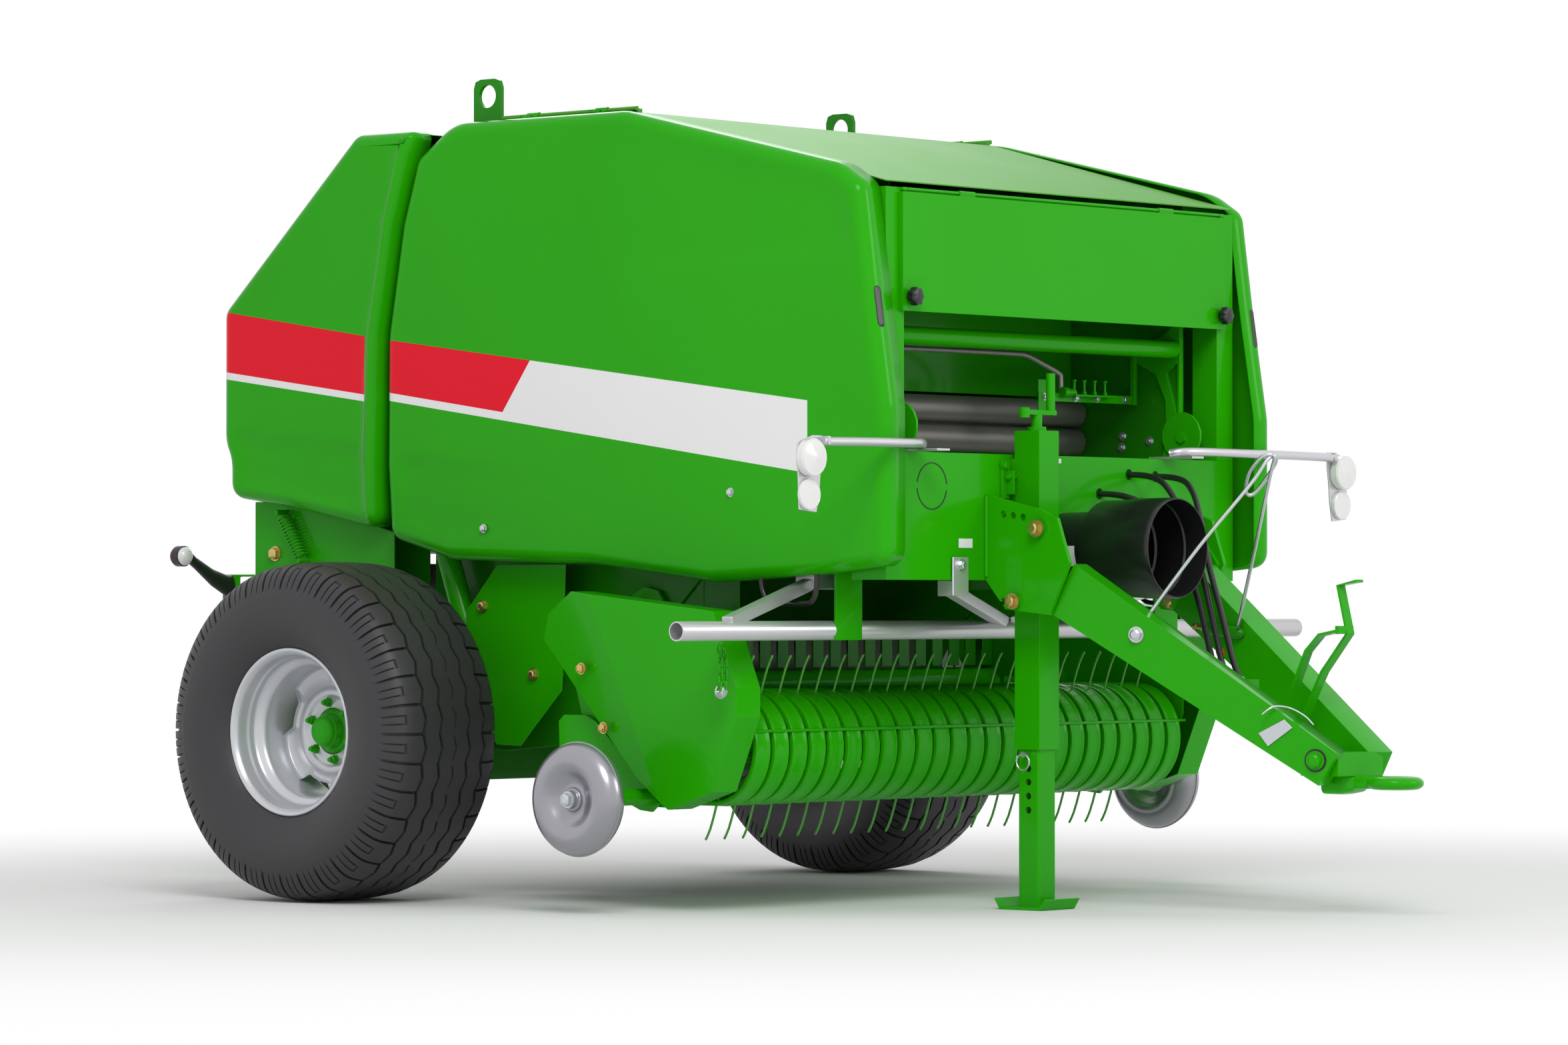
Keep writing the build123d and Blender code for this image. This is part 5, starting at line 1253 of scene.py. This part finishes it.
# --- drawbar ------------------------------------------------------------------------
# Two box arms meet at a forged eye. A bent strip hangs up the hoses, a sprung wire holds
# the drive shaft, and a blank tag hangs on the near arm.
shape = bmesh.new()
eye = at_axle(0, -2592, 331)
loops = []
for i in range(72):
    a = 2 * pi * i / 72
    loops.append([eye + Vector(((.0475 + .0222 * cos(b)) * cos(a), (.0475 + .0222 * cos(b)) * sin(a), .0158 * sin(b)))
                  for b in [2 * pi * k / 20 for k in range(20)]])
wrap(shape, loops, closed=True)
ring = finish_shape(shape, "tow_eye", green)
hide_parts("tow_ring")
finish_piece(ring, "tow_ring", sharp=0)
shape = bmesh.new()
sections = [(-2545, 25, 14), (-2530, 27, 15), (-2505, 29, 16), (-2490, 29, 16), (-2480, 42, 24), (-2450, 46, 30),
            (-2405, 46, 30)]
loops = []
for y, wide, high in sections:
    loops.append([at_axle(wide * (abs(cos(t)) ** .45) * (1 if cos(t) > 0 else -1), y,
                          331 + high * (abs(sin(t)) ** .45) * (1 if sin(t) > 0 else -1))
                  for t in [2 * pi * (k + .5) / 32 for k in range(32)]])
wrap(shape, loops)
shank = finish_shape(shape, "tow_eye_shank", green)
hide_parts("tow_ring")
finish_piece(shank, "tow_ring", sharp=50)
dress("hose_hook", .0014)
shape = bmesh.new()
wire = smooth_line([(-190, -1984, 735), (-112, -2082, 905), (-30, -2180, 1060), (-2, -2213, 1122), (18, -2222, 1132),
                    (34, -2210, 1112), (38, -2165, 1060), (30, -2140, 1036), (14, -2134, 1046), (-6, -2160, 1090),
                    (-8, -2200, 1128), (8, -2226, 1130), (26, -2200, 1080), (80, -2115, 905), (150, -2010, 707)], 7)
tube(shape, [at_axle(*p) for p in wire], .0048, 10)
holder = finish_shape(shape, "shaft_rest_wire", white_zinc)
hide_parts("shaft_holder")
finish_piece(holder, "shaft_holder", sharp=0)
aside = {s: Vector((s * .967, -.253, 0)) for s in (-1, 1)}
arm_bolts = [(s * 251, -1996, 690, aside[s], 1.5) for s in (-1, 1)]
bolts("arm_bolts", "drawbar_arms", arm_bolts, white_zinc)
bolts("eye_bolts", "drawbar_arms", [(s * 131.5, -2449, 386, aside[s], 1.75) for s in (-1, 1)], green)
# black rings round the eye bolts: painted shade standing for the dark of their recesses
shape = bmesh.new()
for s in (-1, 1):
    turned(shape, [(-.001, .018), (-.001, .0285), (.0006, .0285), (.0006, .018)], at_axle(s * 130.8, -2449, 386),
           aside[s], 36, closed=True)
recess_shade = finish_shape(shape, "eye_bolt_recess_shade", rubber)
finish_piece(recess_shade, "drawbar_arms", sharp=30)

# the tag: a blank aluminium plate tied to the near arm by a wire
tag_corners = [at_axle(*p) for p in ((-169, -2307, 451), (-152, -2372, 485), (-147, -2393, 465), (-163, -2331, 419))]
shape = bmesh.new()
lift = aside[-1]
wrap(shape, [[c + lift * out for c in tag_corners] for out in (.0010, .0024)])
tag = edged(shape, "blank_tag", .0004, white_zinc)
finish_piece(tag, "drawbar_arms", sharp=0)
shape = bmesh.new()
tie = smooth_line([(-188, -2330, 497), (-168, -2352, 516), (-130, -2372, 512), (-96, -2392, 492), (-78, -2405, 470)], 6)
tube(shape, [at_axle(*p) for p in tie], .0026, 8)
tie_wire = finish_shape(shape, "tag_wire", white_zinc)
finish_piece(tie_wire, "drawbar_arms", sharp=0)
# a gas strut's green body with its fittings, and the red cap of a hose end
shape = bmesh.new()
turned(shape, [(0, .004), (.002, .014), (.010, .0165), (.110, .0165), (.120, .0130), (.128, .0060), (.129, .001)],
       at_axle(165, -1895, 705), Vector((0, -.992, -.122)), 28)
# the strut's body takes the darker green that stands as painted shade
body = finish_shape(shape, "strut_body", painted_shade_green)
finish_piece(body, "drawbar_arms", sharp=40)
shape = bmesh.new()
turned(shape, [(0, .003), (.001, .010), (.008, .010), (.009, .006), (.024, .006), (.026, .009), (.036, .009),
               (.037, .002)], at_axle(165, -1862, 709), Vector((0, -.992, -.122)), 16)
fitting = finish_shape(shape, "strut_fitting", gold)
finish_piece(fitting, "drawbar_arms", sharp=30)
red_plastic = material("red_plastic", (0.62, 0.010, 0.008), 0.28, coat=0.4, grain=0.05, mottle=0.04)
shape = bmesh.new()
turned(shape, [(0, .006), (.001, .0105), (.016, .0105), (.018, .0085), (.020, .001)], at_axle(100, -1990, 650),
       Vector((-.2, -.5, -.84)), 20)
cap = finish_shape(shape, "hose_end_cap", red_plastic)
finish_piece(cap, "drawbar_arms", sharp=35)

# --- twine guide --------------------------------------------------------------------
# A bent bare rod leads the twine. Its bracket on the left wall carries the knife and
# small adjusters.
shape = bmesh.new()
route = smooth_line([(-406, -1350, 1410), (-200, -1350, 1411), (60, -1350, 1411), (128, -1350, 1408),
                     (190, -1350, 1390), (262, -1350, 1366), (272, -1350, 1352), (272, -1350, 1312)], 6)
tube(shape, [at_axle(*p) for p in route], .0070, 12)
rod = finish_shape(shape, "twine_rod", steel)
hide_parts("twine_guide")
finish_piece(rod, "twine_guide", sharp=0)
shape = bmesh.new()
plain_block(shape, at_axle(176, -1354, 1292), at_axle(574, -1348, 1314))
plain_block(shape, at_axle(176, -1353, 1258), at_axle(230, -1349, 1348))
plain_block(shape, at_axle(574, -1360, 1290), at_axle(588, -1347, 1440))
plain_block(shape, at_axle(300, -1380, 1306), at_axle(470, -1346, 1311))
for x in (310, 352, 396, 440):
    turned(shape, [(0, .006), (.010, .006), (.011, .0035), (.034, .0035), (.035, .006), (.040, .006)],
           at_axle(x, -1366, 1310), upward, 12)
turned(shape, [(0, .014), (.020, .014), (.022, .011), (.050, .011)], at_axle(264, -1362, 1316), outward, 18)
bracket = edged(shape, "twine_bracket", .001, green)
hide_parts("twine_guide")
finish_piece(bracket, "twine_guide", sharp=0)
bolts("twine_bolts", "twine_guide", [(x, -1354, 1303, forward, .75) for x in (200, 330, 420, 540)], white_zinc)

# --- tailgate springs, marker lamps and cylinders -----------------------------------
# Open coil springs painted green, marker lamps on tapered rubber arms, and the two rams.
coil_tree = new_tree("coil_spring", {"Turns": 13.0, "Radius": .0165, "Wire": .0026, "Length": .130, "Finish": None})
given = put(coil_tree, "NodeGroupInput")
spiral = put(coil_tree, "GeometryNodeCurveSpiral", {"Resolution": 20, "Rotations": given.outputs["Turns"],
                                                     "Start Radius": given.outputs["Radius"],
                                                     "End Radius": given.outputs["Radius"],
                                                     "Height": given.outputs["Length"]})
round_wire = put(coil_tree, "GeometryNodeCurvePrimitiveCircle", {"Resolution": 8, "Radius": given.outputs["Wire"]})
coil = put(coil_tree, "GeometryNodeCurveToMesh", {"Curve": spiral.outputs[0], "Profile Curve": round_wire.outputs[0],
                                                   "Fill Caps": True})
aim = put(coil_tree, "GeometryNodeInputNamedAttribute", {"Name": "aim"}, data_type="FLOAT_VECTOR")
turned_to = put(coil_tree, "FunctionNodeAlignRotationToVector", {"Vector": aim.outputs["Attribute"]}, axis="Z")
set_out = put(coil_tree, "GeometryNodeInstanceOnPoints",
              {"Points": given.outputs["Geometry"], "Instance": coil.outputs[0], "Rotation": turned_to.outputs[0]})
end_tree(coil_tree, set_out.outputs[0], given.outputs["Finish"])
base = bpy.data.meshes.new("spring_places")
base.from_pydata([at_axle(s * 734, 436, 890) for s in (-1, 1)], [], [])
base.attributes.new("aim", "FLOAT_VECTOR", "POINT")
for place in base.attributes["aim"].data:
    place.vector = (0, .538, .843)
springs = grow("tailgate_coils", coil_tree, base, {"Finish": green})
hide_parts("tailgate_springs")
finish_piece(springs, "tailgate_springs", sharp=0)
shape = bmesh.new()
for s in (-1, 1):
    for (y, z), (v, w) in (((430, 880), (442, 899)), ((513, 1010), (502, 992))):
        hook = [(s * 716, y, z), (s * 728, y, z), (s * 734, (y + v) / 2, (z + w) / 2), (s * 734 - s * 10, v, w)]
        tube(shape, [at_axle(*p) for p in smooth_line(hook, 5)], .0026, 8)
hooks = finish_shape(shape, "spring_hooks", green)
finish_piece(hooks, "tailgate_springs", sharp=0)

lens_red = material("lens_red", (0.55, 0.006, 0.010), 0.12, coat=0.6, grain=0.4, grain_scale=300, mottle=0.08)
for side, s in (("right", -1), ("left", 1)):
    shape = bmesh.new()
    loops = []
    for t, tall, deep in ((0, 34, 17), (.03, 33, 17), (.10, 29, 15), (.45, 23, 13), (.85, 16, 11), (.93, 17, 12),
                          (1, 15, 11)):
        x, y, z = 770 + 172 * t, 672 - 16 * t, 808 + 84 * t - 10 * sin(pi * t)
        loops.append([at_axle(s * x, y + deep * cos(a), z + tall * sin(a)) for a in
                      [2 * pi * k / 24 for k in range(24)]])
    wrap(shape, loops)
    arm = finish_shape(shape, f"marker_arm_{side}", rubber)
    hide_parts("marker_lamps")
    finish_piece(arm, "marker_lamps", sharp=50)
    centre = at_axle(s * 967.5, 656, 892)
    shape = bmesh.new()
    turned(shape, [(-.013, .0255), (-.012, .0275), (.012, .0275), (.013, .0255)], centre, forward, 32)
    band = finish_shape(shape, f"marker_band_{side}", rubber)
    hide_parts("marker_lamps")
    finish_piece(band, "marker_lamps", sharp=50)
    for name, toward, finish in (("white", forward, frosted), ("red", -forward, lens_red)):
        shape = bmesh.new()
        dome = [(.0125, .0250), (.0170, .0245), (.0180, .0232), (.0195, .0228), (.0225, .0210), (.0235, .0195),
                (.0245, .0190), (.0275, .0150), (.0295, .0090), (.0302, .0010)]
        turned(shape, dome, centre, toward, 32)
        lens = finish_shape(shape, f"marker_{name}_{side}", finish)
        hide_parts("marker_lamps")
        finish_piece(lens, "marker_lamps", sharp=30)
    dress(f"cylinder_barrel_{side}", .002, green, 50)
    dress(f"cylinder_rod_{side}", .0015, white_zinc, 50)
